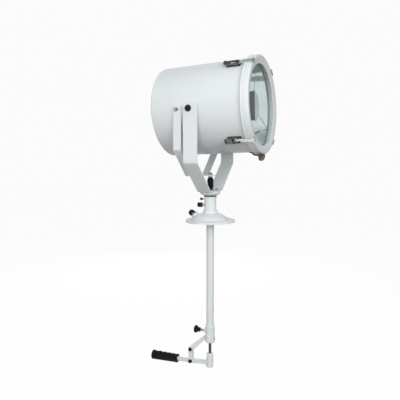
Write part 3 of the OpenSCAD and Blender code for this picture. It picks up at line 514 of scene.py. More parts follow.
def dressed(node, finish_name, name, edge=None, flat=True):
    """CAD solid with rounded or crisp edges and smooth faces, which then stands for its node."""
    edge = sizes().small_edge if edge is None else edge
    mesh = solid_copy(node, flat)
    mesh.shade_smooth()
    obj = add(name, mesh, finish_name)
    if edge > CRISP:
        rounding = obj.modifiers.new("edges", "BEVEL")
        rounding.width = edge
        rounding.segments = 3
        rounding.limit_method = "ANGLE"
        rounding.angle_limit = SOLID_CREASE
        rounding.use_clamp_overlap = False
        rounding.harden_normals = True
        plain(obj)
    else:
        mesh.set_sharp_from_angle(angle=SOLID_CREASE)
    return settle(obj, node)


def keep(node, finish_name):
    """CAD solid whose shape is right: it gets its finish."""
    obj = NODES[node]
    if not obj.material_slots:
        obj.data.materials.append(None)
    for holder in obj.material_slots:
        holder.material = coat(finish_name)


def softened(outline, reach, steps=4):
    """Closed outline with its corners rounded."""
    soft = []
    for i, corner in enumerate(outline):
        here = Vector(corner)
        ends = []
        for other in (outline[i - 1], outline[(i + 1) % len(outline)]):
            way = Vector(other) - here
            ends.append(here + way * min(reach / max(way.length, 1e-9), 0.45))
        if here.x < ON_AXIS:
            soft.append(here)
            continue
        for k in range(steps + 1):
            t = k / steps
            soft.append(ends[0].lerp(here, t).lerp(here.lerp(ends[1], t), t))
    return soft


def turned(name, outline, place=None, steps=None):
    """Mesh of an outline of radius and height, turned about Z and then placed."""
    steps = steps or sizes().turn_steps
    turns = [2 * math.pi * k / steps for k in range(steps)]
    bm = bmesh.new()
    rings = []
    for radius, height in outline:
        if radius < ON_AXIS:
            rings.append([bm.verts.new((0, 0, height))])
            continue
        rings.append([bm.verts.new((radius * math.cos(a), radius * math.sin(a), height)) for a in turns])
    for low, high in zip(rings, rings[1:] + rings[:1]):
        for k in range(steps):
            n = (k + 1) % steps
            loop = [low[k % len(low)], low[n % len(low)], high[n % len(high)], high[k % len(high)]]
            loop = list(dict.fromkeys(loop))
            if len(loop) > 2:
                bm.faces.new(loop)
    bmesh.ops.recalc_face_normals(bm, faces=bm.faces[:])
    mesh = bpy.data.meshes.new(name)
    bm.to_mesh(mesh)
    bm.free()
    if place is not None:
        mesh.transform(place)
    mesh.shade_smooth()
    mesh.set_sharp_from_angle(angle=TURNED_CREASE)
    return mesh


def on_drum_axis():
    """Stands a turned piece on the drum's axis, as the head stands at rest."""
    return HEAD @ Matrix.Translation((0, 0, DRUM_Z)) @ Matrix.Rotation(math.pi / 2, 4, "Y")


def outward(height):
    """Stands a turned piece's axis along -X from the pan axis."""
    return Matrix.Translation((0, 0, height)) @ Matrix.Rotation(-math.pi / 2, 4, "Y")


# Repeated details

# Rise of a bolt's chamfer over the height of its head, and width of its top over the head
CROWN_SHARE = 0.16
CROWN_WIDTH = 0.86


def new_tree(name, **inputs):
    """Node tree with a geometry in and out and a named input for each size, and what comes in."""
    tree = bpy.data.node_groups.new(name, "GeometryNodeTree")
    for way in ("INPUT", "OUTPUT"):
        tree.interface.new_socket("Geometry", in_out=way, socket_type="NodeSocketGeometry")
    for label, kind in {**inputs, "Finish": "Material"}.items():
        tree.interface.new_socket(
            label.replace("_", " "), in_out="INPUT", socket_type=f"NodeSocket{kind}")
    return tree, tree.nodes.new("NodeGroupInput").outputs


def end_tree(tree, given, copies):
    """Realizes the copies, smooths them and gives them the finish."""
    real = put(tree, "GeometryNodeRealizeInstances", Geometry=copies)
    soft = put(tree, "GeometryNodeSetShadeSmooth", Geometry=real.outputs["Geometry"])
    coated = put(
        tree, "GeometryNodeSetMaterial", Geometry=soft.outputs["Geometry"], Material=given["Finish"])
    put(tree, "NodeGroupOutput", Geometry=coated.outputs["Geometry"])
    return tree


def own_value(tree, name, kind):
    """Value that each point brings."""
    node = tree.nodes.new("GeometryNodeInputNamedAttribute")
    node.data_type = kind
    give(tree, node.inputs["Name"], name)
    return node.outputs["Attribute"]


def on_points(tree, given, shape, **more):
    """Puts a shape on every point, turned by the point's own angles."""
    turn = put(tree, "FunctionNodeEulerToRotation", Euler=own_value(tree, "turn", "FLOAT_VECTOR"))
    copies = put(tree, "GeometryNodeInstanceOnPoints", Points=given["Geometry"], Instance=shape,
                 Rotation=turn.outputs["Rotation"], **more)
    return copies.outputs["Instances"]


def rings_tree():
    """Raised rings, each as wide as its point's girth: threads and grip ribs."""
    tree, given = new_tree("rings", Wire="Float", Facets="Int")
    hoop = put(tree, "GeometryNodeCurvePrimitiveCircle", Radius=1.0, Resolution=given["Facets"])
    wire = put(tree, "GeometryNodeCurvePrimitiveCircle", Radius=given["Wire"], Resolution=8)
    sweep = put(
        tree, "GeometryNodeCurveToMesh", Curve=hoop.outputs["Curve"], Profile_Curve=wire.outputs["Curve"])
    girth = own_value(tree, "girth", "FLOAT")
    return end_tree(tree, given, on_points(tree, given, sweep.outputs["Mesh"], Scale=girth))


def rivets_tree():
    """Low domed heads."""
    tree, given = new_tree("rivets", Radius="Float", Rise="Float")
    ball = put(tree, "GeometryNodeMeshUVSphere", Segments=20, Rings=10, Radius=given["Radius"])
    flat = put(tree, "ShaderNodeCombineXYZ", X=1, Y=1, Z=given["Rise"])
    head = put(
        tree, "GeometryNodeTransform", Geometry=ball.outputs["Mesh"], Scale=flat.outputs["Vector"])
    return end_tree(tree, given, on_points(tree, given, head.outputs["Geometry"]))


def bolts_tree():
    """Chamfered hexagon heads on round washers."""
    tree, given = new_tree(
        "bolts", Corner_Radius="Float", Head_Height="Float", Washer_Radius="Float", Washer_Height="Float")
    high = given["Head Height"]
    head = put(tree, "GeometryNodeMeshCylinder", Vertices=6, Radius=given["Corner Radius"], Depth=high)
    crown = put(tree, "GeometryNodeExtrudeMesh", Mesh=head.outputs["Mesh"], Selection=head.outputs["Top"],
                Offset_Scale=reckoned(tree, "MULTIPLY", high, CROWN_SHARE))
    narrow = put(tree, "GeometryNodeScaleElements", Geometry=crown.outputs["Mesh"],
                 Selection=crown.outputs["Top"], Scale=CROWN_WIDTH)
    lift = reckoned(tree, "MULTIPLY_ADD", high, 0.5, given["Washer Height"])
    rise = put(tree, "ShaderNodeCombineXYZ", Z=lift)
    seat = put(tree, "GeometryNodeTransform", Geometry=narrow.outputs["Geometry"],
               Translation=rise.outputs["Vector"])
    washer = put(tree, "GeometryNodeMeshCylinder", Vertices=40, Radius=given["Washer Radius"],
                 Depth=given["Washer Height"])
    both = put(tree, "GeometryNodeJoinGeometry", Geometry=seat.outputs["Geometry"])
    give(tree, both.inputs["Geometry"], washer.outputs["Mesh"])
    return end_tree(tree, given, on_points(tree, given, both.outputs["Geometry"]))


TREES = {}
TREE_MAKERS = {"rings": rings_tree, "rivets": rivets_tree, "bolts": bolts_tree}


def repeated(name, kind, finish_name, points, place=None, **values):
    """Plain mesh of a repeated detail. Each point is its place, its angles and its girth."""
    if kind not in TREES:
        TREES[kind] = TREE_MAKERS[kind]()
    tree = TREES[kind]
    mesh = bpy.data.meshes.new(name)
    mesh.from_pydata([p[0] for p in points], [], [])
    mesh.attributes.new("turn", "FLOAT_VECTOR", "POINT")
    mesh.attributes.new("girth", "FLOAT", "POINT")
    for i, (_, turn, girth) in enumerate(points):
        mesh.attributes["turn"].data[i].vector = turn
        mesh.attributes["girth"].data[i].value = girth
    obj = add(name, mesh, finish_name)
    maker = obj.modifiers.new(kind, "NODES")
    maker.node_group = tree
    values["Finish"] = coat(finish_name)
    for item in tree.interface.items_tree:
        label = item.name.replace(" ", "_")
        if item.in_out == "INPUT" and label in values:
            maker[item.identifier] = values[label]
    plain(obj)
    for extra in ("turn", "girth"):
        if extra in obj.data.attributes:
            obj.data.attributes.remove(obj.data.attributes[extra])
    if place is not None:
        obj.data.transform(place)
    obj.data.set_sharp_from_angle(angle=REPEATED_CREASE)
    return obj


# Operators, one for each piece or group

# Part of what camera, gloss and glass get from the floor that is its own glow
GLOW_SHARE = 0.92
# Strength at which the world is as white as the floor
ROOM_STRENGTH = 0.966
FLOOR_REACH = 14.0
# Grey strips of the floor: start and end along X, in metres, and tone
STRIPS = ((0.25, 1.60, 0.07), (1.72, 2.03, 0.22))
STRIPS_REACH = 2.5
STRIP_TINT = (0.95, 1.0, 0.99)
# Direction of the world's grey side
SIDE_WAY = Vector((0.42, 0.90, 0.10)).normalized()
# Size, place and aim of each lamp
LAMPS = {
    "key": (1.8, (2.2, -1.95, 1.1), (0.0, 0.0, 0.30)),
    "fill": (1.6, (0.7, -2.75, 0.22), (0.0, 0.0, 0.10)),
    "back": (1.8, (-1.7, 2.5, 0.9), (0.0, 0.0, 0.20)),
}


class SEARCHLIGHT_OT_stage(Operator):
    """Floor, lamps, world and camera at the reference view"""
    bl_idname = "searchlight.stage"
    bl_label = "Stage"

    def execute(self, context):
        scene = context.scene
        stage = scene.searchlight_stage
        scene.view_settings.view_transform = "Standard"
        self.floor(scene, stage)
        self.world(scene, stage)
        for name, (size, at, towards) in LAMPS.items():
            self.lamp(scene, name, getattr(stage, f"{name}_power"), size, at, towards)
        self.camera(scene, stage)
        return {"FINISHED"}

    def white_to_view(self, tree):
        """One for rays of the camera, of gloss and through glass, else nought."""
        path = tree.nodes.new("ShaderNodeLightPath").outputs
        seen = reckoned(tree, "MAXIMUM", path["Is Camera Ray"], path["Is Glossy Ray"])
        return reckoned(tree, "MAXIMUM", seen, path["Is Transmission Ray"])

    def mirrored(self, tree, tones):
        """White for rays of the camera, and the given tones for rays that come by gloss or glass."""
        path = tree.nodes.new("ShaderNodeLightPath").outputs
        return blended(tree, path["Is Camera Ray"], tones, WHITE)

    def shared(self, tree, fac, first, second, end):
        """Ends a tree in two shaders, the second as far as fac says."""
        mix = put(tree, "ShaderNodeMixShader", Fac=fac)
        give(tree, mix.inputs[1], first)
        give(tree, mix.inputs[2], second)
        give(tree, tree.nodes[end].inputs["Surface"], mix.outputs["Shader"])

    def strips(self, tree):
        """Grey strips across the floor before the front glass, for what the mirror shows."""
        parts = put(tree, "ShaderNodeSeparateXYZ", Vector=own_place(tree))
        reach = put(tree, "ShaderNodeMapRange", Value=parts.outputs["X"], From_Max=STRIPS_REACH)
        shades = put(tree, "ShaderNodeValToRGB", Fac=reach.outputs["Result"])
        stops = shades.color_ramp.elements
        shades.color_ramp.interpolation = "CONSTANT"
        for start, end, grey in STRIPS:
            stops.new(start / STRIPS_REACH).color = (*tone(STRIP_TINT, grey), 1)
            stops.new(end / STRIPS_REACH).color = (*STRIP_TINT, 1)
        stops[0].color = WHITE
        stops[-1].color = WHITE
        return shades.outputs["Color"]

    def floor(self, scene, stage):
        """Matt floor that takes shadows, white to the camera, with strips for gloss and glass."""
        corners = ((-1, -1), (1, -1), (1, 1), (-1, 1))
        mesh = bpy.data.meshes.new("floor")
        mesh.from_pydata(
            [(x * FLOOR_REACH, y * FLOOR_REACH, stage.floor_height) for x, y in corners],
            [], [(0, 1, 2, 3)])
        obj = bpy.data.objects.new("floor", mesh)
        scene.collection.objects.link(obj)
        material = bpy.data.materials.new("pale_floor")
        material.use_nodes = True
        tree = material.node_tree
        seen = self.white_to_view(tree)
        matt = tree.nodes["Principled BSDF"]
        matt.inputs["Roughness"].default_value = 0.9
        matt.inputs["Specular IOR Level"].default_value = 0.0
        pale = ramp(tree, seen, stage.bounce, (0.97, 0.97, 0.97), 0.0, 1.0)
        give(tree, matt.inputs["Base Color"], pale)
        glow = put(tree, "ShaderNodeEmission", Color=self.mirrored(tree, self.strips(tree)))
        self.shared(tree, reckoned(tree, "MULTIPLY", seen, GLOW_SHARE), matt.outputs["BSDF"],
                    glow.outputs["Emission"], "Material Output")
        mesh.materials.append(material)

    def world(self, scene, stage):
        """Even light for the object, and white for the camera.

        Metal and glass are shown walls, a grey side and a ceiling.
        """
        world = bpy.data.worlds.new("studio")
        world.use_nodes = True
        scene.world = world
        tree = world.node_tree
        soft = tree.nodes["Background"]
        soft.inputs["Color"].default_value = WHITE
        soft.inputs["Strength"].default_value = stage.soft_light
        way = tree.nodes.new("ShaderNodeTexCoord").outputs["Generated"]
        parts = put(tree, "ShaderNodeSeparateXYZ", Vector=way)
        walls = ramp(tree, parts.outputs["Z"], (1, 1, 1), stage.ceiling, 0.62, 0.80)
        aside = tree.nodes.new("ShaderNodeVectorMath")
        aside.operation = "DOT_PRODUCT"
        give(tree, aside.inputs[0], way)
        give(tree, aside.inputs[1], SIDE_WAY)
        side = ramp(tree, aside.outputs["Value"], (1, 1, 1), stage.side, 0.80, 0.90)
        tones = blended(tree, 1.0, walls, side, "MULTIPLY")
        room = put(
            tree, "ShaderNodeBackground", Color=self.mirrored(tree, tones), Strength=ROOM_STRENGTH)
        self.shared(tree, self.white_to_view(tree), soft.outputs["Background"],
                    room.outputs["Background"], "World Output")

    def lamp(self, scene, name, power, size, at, towards):
        """Large soft lamp, which doesn't show in metal and glass."""
        light = bpy.data.lights.new(name, "AREA")
        light.energy = power
        light.size = size
        obj = bpy.data.objects.new(name, light)
        obj.location = at
        obj.rotation_euler = (Vector(towards) - Vector(at)).to_track_quat("-Z", "Y").to_euler()
        obj.visible_glossy = False
        obj.visible_transmission = False
        scene.collection.objects.link(obj)

    def camera(self, scene, stage):
        """Camera at the reference view, from its place round the pan axis and its turn."""
        camera = bpy.data.cameras.new("camera")
        camera.sensor_width = 36
        camera.lens = stage.camera_lens
        obj = bpy.data.objects.new("camera", camera)
        scene.collection.objects.link(obj)
        azimuth, pitch = stage.camera_azimuth, stage.camera_pitch
        turn = azimuth + stage.camera_yaw
        level = Vector((-math.sin(turn), math.cos(turn), 0))
        away = level * math.cos(pitch) + Vector((0, 0, math.sin(pitch)))
        right = away.cross(Vector((0, 0, 1))).normalized()
        up = right.cross(away)
        view = Matrix((right, up, -away)).transposed().to_4x4()
        view.translation = (
            math.sin(azimuth) * stage.camera_distance, -math.cos(azimuth) * stage.camera_distance,
            stage.camera_height)
        obj.matrix_world = view
        scene.camera = obj


class SEARCHLIGHT_OT_deck_base(Operator):
    """Cast deck base with its neck bolts"""
    bl_idname = "searchlight.deck_base"
    bl_label = "Deck base"

    def execute(self, context):
        dressed("deck_base", "cast paint", "deck_base_casting", CRISP, flat=False)
        for node, name in (("neck_lock_bolt", "neck_clamp_bolt"), ("neck_set_screw", "neck_stop_screw")):
            self.bare_stem(dressed(node, "black steel", name), node)
        # The dark bush also stands in for the shade in the gap under the turntable: a real part, partly
        # painted shade
        keep("upper_bush", "dark steel")
        return {"FINISHED"}

    def bare_stem(self, bolt, node):
        """Bright plating on the stem of a bolt that lies along X."""
        low, high = span(node, 2)
        stem = 0.36 * (high - low)
        bolt.data.materials.append(coat("plated"))
        for face in bolt.data.polygons:
            away = math.hypot(face.center.y, face.center.z - (low + high) / 2)
            if away < stem and abs(face.normal.x) < 0.6:
                face.material_index = 1


class SEARCHLIGHT_OT_gland(Operator):
    """Cable gland on the dome's slope"""
    bl_idname = "searchlight.gland"
    bl_label = "Cable gland"

    def execute(self, context):
        dressed("gland_body", "steel", "gland_hexagon")
        dressed("gland_nut", "black steel", "gland_cap_nut")
        dressed("gland_seal", "rubber", "gland_rubber")
        return {"FINISHED"}


class SEARCHLIGHT_OT_tubes(Operator):
    """Support tube, collar, turning tube and push rod"""
    bl_idname = "searchlight.tubes"
    bl_label = "Tubes and rod"

    def execute(self, context):
        dressed("support_tube", "paint", "support_pipe")
        dressed("tube_collar", "paint", "pipe_collar", CRISP, flat=False)
        dressed("push_rod", "rod steel", "tilt_rod")
        dressed("pan_tube", "dark steel", "turning_pipe")
        keep("lower_bush", "bronze")
        keep("rod_guides", "bronze")
        return {"FINISHED"}


class SEARCHLIGHT_OT_lock(Operator):
    """Lock screw and its fluted knob"""
    bl_idname = "searchlight.lock"
    bl_label = "Lock knob"

    def execute(self, context):
        s = sizes()
        dressed("lock_stem", "plated", "lock_screw_stem")
        self.thread(s.thread_pitch)
        self.knob(s.knob_flutes)
        return {"FINISHED"}

    def thread(self, pitch):
        """Screw thread that shows, as close rings along the stem."""
        radius = half_width("lock_stem", 2) * 0.985
        start = 0.001 - span("tube_collar", 0)[0]
        length = 0.020
        rings = [((0, 0, start + k * pitch), (0, 0, 0), radius) for k in range(int(length / pitch))]
        obj = repeated("lock_screw_thread", "rings", "plated", rings, outward(KNOB_AXIS.z),
                       Wire=0.5 * pitch / radius, Facets=40)
        ride_with(obj, "lock_stem")

    def knob(self, flutes):
        """Mushroom knob whose flutes deepen towards its rim."""
        near, far = -KNOB_X[1], -KNOB_X[0]
        rim = half_width("lock_knob", 1)
        bore = 0.0046
        plain_share, flute_depth = 0.62, 0.085
        outline = softened([
            (bore, near), (0.009, near), (0.0105, near + 0.002), (0.0096, near + 0.010),
            (rim * 0.80, near + 0.0155), (rim, near + 0.0195), (rim * 0.985, near + 0.0245),
            (rim * 0.72, far - 0.0012), (0.0, far), (0.0, near + 0.012), (bore, near + 0.012)], 0.0022, 6)
        mesh = turned("lock_knob_fluted", outline, steps=FINE_STEPS)
        for v in mesh.vertices:
            r = math.hypot(v.co.x, v.co.y)
            grow = max(0.0, (r / rim - plain_share) / (1 - plain_share))
            wave = 0.5 - 0.5 * math.cos(flutes * math.atan2(v.co.y, v.co.x))
            share = 1 - flute_depth * grow * wave ** 3
            v.co.x *= share
            v.co.y *= share
        mesh.transform(outward(KNOB_AXIS.z))
        settle(add("lock_knob_fluted", mesh, "knob"), "lock_knob")


class SEARCHLIGHT_OT_yoke(Operator):
    """Turntable, yoke strap and its bolts"""
    bl_idname = "searchlight.yoke"
    bl_label = "Yoke"

    def execute(self, context):
        s = sizes()
        dressed("turntable", "cast paint", "yoke_turntable", s.cast_edge)
        dressed("yoke", "paint", "yoke_strap", s.sheet_edge)
        self.bolts()
        return {"FINISHED"}

    def bolts(self):
        """Bolts through the foot of the strap, each turned its own way."""
        head, washer = 0.0040, 0.0013
        top = span("yoke_bolts", 2)[1]
        corners = [v.co for v in NODES["yoke_bolts"].data.vertices if v.co.z > top - 1e-5]
        places = []
        for i in (-1, 1):
            for j in (-1, 1):
                own = [c for c in corners if c.x * i > 0 and c.y * j > 0]
                at = sum(own, Vector()) / len(own)
                at.z = top - head - washer
                places.append((at, (0, 0, 0.4 * i + 0.7 * j), 1.0))
        obj = repeated("yoke_bolt_heads", "bolts", "steel", places, Corner_Radius=0.0072,
                       Head_Height=head, Washer_Radius=0.0085, Washer_Height=washer)
        settle(obj, "yoke_bolts")


class SEARCHLIGHT_OT_tilt_fork(Operator):
    """Tilt fork, its nuts and the rubber gaiter"""
    bl_idname = "searchlight.tilt_fork"
    bl_label = "Tilt fork"

    def execute(self, context):
        s = sizes()
        dressed("tilt_fork", "paint", "tilt_fork_strap", s.sheet_edge)
        dressed("fork_nuts", "steel", "rod_nuts")
        self.gaiter()
        return {"FINISHED"}

    def gaiter(self):
        """Soft sleeve from the yoke to the rod, with a lip and a fold."""
        wall, gap = 0.0017, 0.00006
        low, high = span("gaiter", 2)
        wide = span("gaiter", 0)[1]
        rod = span("push_rod", 0)[1]
        stations = [
            (0.82, 0.00), (0.84, 0.12), (0.945, 0.325), (1.00, 0.36), (1.00, 0.40), (0.77, 0.455),
            (0.90, 0.56), (0.97, 0.68), (0.93, 0.83), (0.77, 0.94), (0.62, 1.00)]
        outer = [(wide * r, low + (high - low) * t) for r, t in self.smooth(stations, 5)]
        inner = [(max(r - wall, rod + gap), z) for r, z in reversed(outer)]
        obj = add("rod_gaiter", turned("rod_gaiter", outer + inner), "rubber")
        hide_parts("gaiter")
        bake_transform(obj)

    def smooth(self, stations, steps):
        """Finer stations on a soft curve through the given ones."""
        fine = []
        last = len(stations) - 1
        for i in range(last):
            a, b, c, d = (Vector(stations[min(max(k, 0), last)]) for k in (i - 1, i, i + 1, i + 2))
            for k in range(steps):
                t = k / steps
                fine.append(0.5 * ((2 * b) + (c - a) * t + (2 * a - 5 * b + 4 * c - d) * t * t
                                   + (3 * b - a - 3 * c + d) * t ** 3))
        return fine + [Vector(stations[-1])]


class SEARCHLIGHT_OT_drum(Operator):
    """Drum shell, rear cover and the pivots on its sides"""
    bl_idname = "searchlight.drum"
    bl_label = "Drum"

    def execute(self, context):
        dressed("drum_shell", "paint", "drum_skin", flat=False)
        dressed("rear_cover", "paint", "drum_rear_cover", flat=False)
        dressed("side_bosses", "paint", "drum_side_bosses", CRISP, flat=False)
        dressed("tilt_bolts", "black steel", "tilt_bolt_heads", BOLT_EDGE)
        dressed("tilt_washers", "dark steel", "tilt_bolt_washers")
        dressed("fork_pins", "steel", "fork_pin_heads")
        return {"FINISHED"}


class SEARCHLIGHT_OT_front(Operator):
    """Bezel ring, glass and gasket"""
    bl_idname = "searchlight.front"
    bl_label = "Front"

    def execute(self, context):
        s = sizes()
        dressed("bezel_ring", "paint", "bezel_band", s.sheet_edge, flat=False)
        dressed("glass_gasket", "gasket", "glass_seal", flat=False)
        back, face = head_span("front_glass", 0)
        radius = head_radius("front_glass")
        flat = radius - 0.003
        corners = [(0, back), (flat, back), (radius, back), (radius, face), (flat, face), (0, face)]
        mesh = turned("front_pane", softened(corners, 0.0008), on_drum_axis())
        pane = settle(add("front_pane", mesh, "glass"), "front_glass")
        # The light goes straight through the pane to the mirror and the lamp
        pane.visible_shadow = False
        pane.visible_diffuse = False
        return {"FINISHED"}


class SEARCHLIGHT_OT_lamp(Operator):
    """Reflector, lamp and glare shield behind the glass"""
    bl_idname = "searchlight.lamp"
    bl_label = "Lamp and reflector"

    def execute(self, context):
        s = sizes()
        self.reflector(s.focal_share)
        keep("reflector_seat", "dark steel")
        dressed("lamp_holder", "ceramic", "lamp_holder_body", flat=False)
        self.bulb()
        self.shield()
        dressed("shield_stays", "mirror", "shield_stay_strips", FINE_EDGE)
        self.screws()
        return {"FINISHED"}

    def reflector(self, focal_share):
        """Dish on a parabola, with a flat round the lamp's hole and a flange."""
        sheet, rim, hole, flat = 0.0015, 0.009, 0.024, 0.040
        steps = 72
        rim_x = head_span("reflector", 0)[1]
        flange = head_radius("reflector")
        dish = flange - rim
        focal = dish * focal_share
        vertex = rim_x - dish * dish / (4 * focal)
        radii = [flat + (dish - flat) * k / steps for k in range(steps + 1)]
        face = [(hole, vertex + flat * flat / (4 * focal))]
        face += [(r, vertex + r * r / (4 * focal)) for r in radii]
        face += [(dish + 0.0008, rim_x), (flange, rim_x)]
        back = [(r + 0.0005, x - sheet) for r, x in reversed(face[1:-1])]
        outline = face + [(flange, rim_x - sheet)] + back + [(hole, face[0][1] - sheet)]
        mesh = turned("reflector_dish", outline, on_drum_axis(), FINE_STEPS)
        settle(add("reflector_dish", mesh, "mirror"), "reflector")

    def bulb(self):
        """Glass envelope, its cap and the filament in it."""
        back, tip = head_span("lamp_bulb", 0)
        radius = head_radius("lamp_bulb")
        cap_r = radius * 9 / 16
        cap_l = 0.027
        shoulder = back + cap_l
        outer = [
            (cap_r * 0.8, shoulder), (cap_r * 0.86, shoulder + 0.006), (radius * 0.96, shoulder + 0.014),
            (radius, shoulder + 0.022), (radius, tip - 0.014), (radius * 0.86, tip - 0.006),
            (radius * 0.5, tip - 0.0012), (0, tip)]
        inner = [(max(r - 0.001, 0), x - 0.0006) for r, x in reversed(outer)]
        inner[0] = (0, tip - 0.001)
        mesh = turned("bulb_envelope", softened(outer + inner, 0.004, 5), on_drum_axis())
        settle(add("bulb_envelope", mesh, "bulb glass"), "lamp_bulb")
        cap = [
            (0, back), (cap_r, back), (cap_r, shoulder - 0.002), (cap_r * 0.8, shoulder + 0.001),
            (0, shoulder + 0.001)]
        mesh = turned("bulb_cap", softened(cap, 0.0008), on_drum_axis())
        self.in_head(add("bulb_cap", mesh, "plated"))
        self.coil(shoulder, tip)

    def in_head(self, obj):
        """Lets a metal piece of the lamp, which stands for no node, ride in the head."""
        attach(obj, "head")

    def coil(self, shoulder, tip):
        """Filament, as close upright rings in the envelope's middle."""
        girth, pitch, count, foot = 0.002, 0.0009, 14, -0.006
        mid = (shoulder + tip) / 2 + 0.004
        rings = [((0, 0, foot + pitch * k), (0, 0, 0), girth) for k in range(count)]
        place = HEAD @ Matrix.Translation((mid, 0, DRUM_Z))
        self.in_head(repeated("bulb_filament", "rings", "filament", rings, place, Wire=0.16, Facets=20))

    def shield(self):
        """Shield with its own finish on the face, its near half painted in shade, and black sides that
        stand in for shade.
        """
        obj = dressed("glare_shield", "shield", "glare_shield_cup", CUP_EDGE, flat=False)
        obj.data.materials.append(coat("shield shaded side"))
        for face in obj.data.polygons:
            face.material_index = 0 if face.normal.x > 0.7 else 1

    def screws(self):
        """Domed screws round the reflector's flange."""
        inset = 0.003
        rim_x = head_span("reflector", 0)[1]
        reach = head_radius("reflector") - inset
        places = []
        for angle in (45, 135, 225, 315):
            a = math.radians(angle)
            at = (rim_x, -reach * math.sin(a), DRUM_Z + reach * math.cos(a))
            places.append((at, (0, math.pi / 2, 0), 1.0))
        obj = repeated("reflector_screw_heads", "rivets", "steel", places, HEAD, Radius=0.0034, Rise=0.6)
        settle(obj, "reflector_screws")


class SEARCHLIGHT_OT_hinge(Operator):
    """Hinge under the bezel"""
    bl_idname = "searchlight.hinge"
    bl_label = "Hinge"

    def execute(self, context):
        dressed("hinge_bracket", "bronze", "hinge_bracket_plate", CRISP, flat=False)
        dressed("bezel_lug", "bronze", "hinge_lug", LUG_EDGE)
        dressed("hinge_pin", "dark steel", "hinge_pin_rod")
        return {"FINISHED"}


class SEARCHLIGHT_OT_latches(Operator):
    """Four toggle latches with riveted bases"""
    bl_idname = "searchlight.latches"
    bl_label = "Latches"

    def execute(self, context):
        dressed("latch_bases", "dark steel", "latch_base_plates", CRISP, flat=False)
        for n in LATCHES:
            dressed(f"latch_lever_{n}", "latch steel", f"latch_{n}_lever")
            dressed(f"latch_hook_{n}", "bright steel", f"latch_{n}_hook")
        self.rivets()
        return {"FINISHED"}

    def rivets(self):
        """Four domed rivets on each latch's base plate."""
        plate, half_gap = 0.002, 0.006
        places = []
        low, high = head_span("latch_bases", 0)
        for n in LATCHES:
            hinge = LEVEL @ Vector(JOINT[f"latch_{n}_open"]["pos_m"])
            angle = math.atan2(-hinge.y, hinge.z - DRUM_Z)
            turn = Matrix.Rotation(angle, 4, "X")
            for x in (low + 0.005, high - 0.0045):
                for side in (-half_gap, half_gap):
                    at = turn @ Vector((x, side, DRUM_R + plate)) + Vector((0, 0, DRUM_Z))
                    places.append((at, (angle, 0, 0), 1.0))
        obj = repeated("latch_rivets", "rivets", "steel", places, HEAD, Radius=0.0024, Rise=0.55)
        ride_with(obj, "latch_bases")


class SEARCHLIGHT_OT_handle(Operator):
    """Sleeve, fulcrum arm, link, lever and rod block"""
    bl_idname = "searchlight.handle"
    bl_label = "Control handle"

    def execute(self, context):
        s = sizes()
        dressed("handle_sleeve", "paint", "handle_sleeve_ring", CRISP, flat=False)
        dressed("sleeve_screw", "black steel", "sleeve_grub_screw", FINE_EDGE)
        keep("fulcrum_arm", "paint")
        dressed("arm_bolt", "black steel", "arm_pivot_bolt")
        dressed("control_link", "paint", "control_link_plates", s.sheet_edge)
        dressed("link_bolt", "black steel", "link_pivot_bolt")
        keep("rod_block", "paint")
        dressed("block_pin", "paint", "block_cross_pin")
        dressed("control_lever", "paint", "control_lever_bar", s.cast_edge)
        return {"FINISHED"}


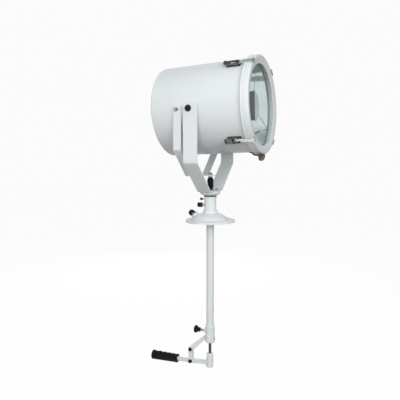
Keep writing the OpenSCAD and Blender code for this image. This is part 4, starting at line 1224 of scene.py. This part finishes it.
class SEARCHLIGHT_OT_grip(Operator):
    """Ribbed hand grip with finger hollows"""
    bl_idname = "searchlight.grip"
    bl_label = "Hand grip"

    def execute(self, context):
        s = sizes()
        far, near = GRIP_X
        length = (near - far) / math.cos(s.grip_slope) - 0.001
        drop = (abs(near) - abs(FULCRUM.x)) * math.tan(s.grip_slope)
        place = Matrix.Translation((near, 0, FULCRUM.z - drop)) @ Matrix.Rotation(
            -math.pi / 2 - s.grip_slope, 4, "Y")
        wide = span("hand_grip", 1)[1] - 0.001
        radius = wide - 0.0015
        stations = [
            (radius - 0.0005, 0.0), (radius + 0.0006, 0.0010), (radius + 0.0007, 0.0030),
            (radius, 0.0060), (radius + 0.0007, length * 0.5), (wide - 0.0005, length - 0.007),
            (wide + 0.0009, length - 0.0038), (wide + 0.0010, length - 0.0012), (wide - 0.0002, length)]
        finest = 0.0016
        body = []
        for (ra, za), (rb, zb) in zip(stations, stations[1:]):
            steps = max(2, int((zb - za) / finest))
            body += [(ra + (rb - ra) * k / steps, za + (zb - za) * k / steps) for k in range(steps)]
        body.append(stations[-1])
        hole, hole_depth = 0.0105, 0.02
        outline = [(hole, 0.0)] + body + [(0.0, length), (0.0, hole_depth), (hole, hole_depth)]
        mesh = turned("hand_grip_body", outline)
        self.fingers(mesh, length, s.finger_depth)
        mesh.transform(place)
        settle(add("hand_grip_body", mesh, "grip"), "hand_grip")
        self.ribs(s, length, radius, wide, place)
        return {"FINISHED"}

    def hollow(self, height, length):
        """How deep the hollows are at a height along the grip, from nought to one."""
        ends = [share * length for share in (0.04, 0.19, 0.345, 0.52, 0.73, 0.965)]
        for start, end in zip(ends, ends[1:]):
            if start < height < end:
                return math.sin(math.pi * (height - start) / (end - start)) ** 1.4
        return 0.0

    def fingers(self, mesh, length, depth):
        """Presses the finger hollows into the top of the grip, and leaves its bore."""
        bore = 0.012
        for v in mesh.vertices:
            r = math.hypot(v.co.x, v.co.y)
            if r < bore:
                continue
            above = max(0.0, v.co.x / r)
            r_new = r - depth * self.hollow(v.co.z, length) * above ** 1.5
            v.co.x *= r_new / r
            v.co.y *= r_new / r

    def ribs(self, s, length, radius, wide, place):
        """Raised rings along the grip, half sunk in it."""
        start, end = 0.009, length - 0.010
        sunk = 0.0005
        rings = []
        for k in range(s.grip_ribs):
            t = k / (s.grip_ribs - 1)
            girth = radius + (wide - radius) * t - sunk
            rings.append(((0, 0, start + (end - start) * t), (0, 0, 0), girth))
        obj = repeated("hand_grip_ribs", "rings", "grip", rings, Wire=0.045, Facets=96)
        self.fingers(obj.data, length, s.finger_depth)
        obj.data.transform(place)
        ride_with(obj, "hand_grip")


# Panel and registration

STEPS = (
    SEARCHLIGHT_OT_stage, SEARCHLIGHT_OT_deck_base, SEARCHLIGHT_OT_gland, SEARCHLIGHT_OT_tubes,
    SEARCHLIGHT_OT_lock, SEARCHLIGHT_OT_yoke, SEARCHLIGHT_OT_tilt_fork, SEARCHLIGHT_OT_drum,
    SEARCHLIGHT_OT_front, SEARCHLIGHT_OT_lamp, SEARCHLIGHT_OT_hinge, SEARCHLIGHT_OT_latches,
    SEARCHLIGHT_OT_handle, SEARCHLIGHT_OT_grip)


class SEARCHLIGHT_PT_panel(Panel):
    """Sidebar panel with the settings and the steps"""
    bl_idname = "SEARCHLIGHT_PT_panel"
    bl_label = "Searchlight"
    bl_space_type = "VIEW_3D"
    bl_region_type = "UI"
    bl_category = "Searchlight"

    def draw(self, context):
        layout = self.layout
        for name in ("searchlight_colours", "searchlight_sizes", "searchlight_stage"):
            group = getattr(context.scene, name)
            for key in group.bl_rna.properties.keys():
                if key not in ("rna_type", "name"):
                    layout.prop(group, key)
        for step in STEPS:
            layout.operator(step.bl_idname)


CLASSES = (SearchlightColours, SearchlightSizes, SearchlightStage, *STEPS, SEARCHLIGHT_PT_panel)


def register():
    for cls in CLASSES:
        bpy.utils.register_class(cls)
    bpy.types.Scene.searchlight_colours = PointerProperty(type=SearchlightColours)
    bpy.types.Scene.searchlight_sizes = PointerProperty(type=SearchlightSizes)
    bpy.types.Scene.searchlight_stage = PointerProperty(type=SearchlightStage)


def unregister():
    del bpy.types.Scene.searchlight_stage
    del bpy.types.Scene.searchlight_sizes
    del bpy.types.Scene.searchlight_colours
    for cls in reversed(CLASSES):
        bpy.utils.unregister_class(cls)


def main():
    register()
    for step in STEPS:
        group, name = step.bl_idname.split(".")
        getattr(getattr(bpy.ops, group), name)()


if __name__ == "__main__":
    main()
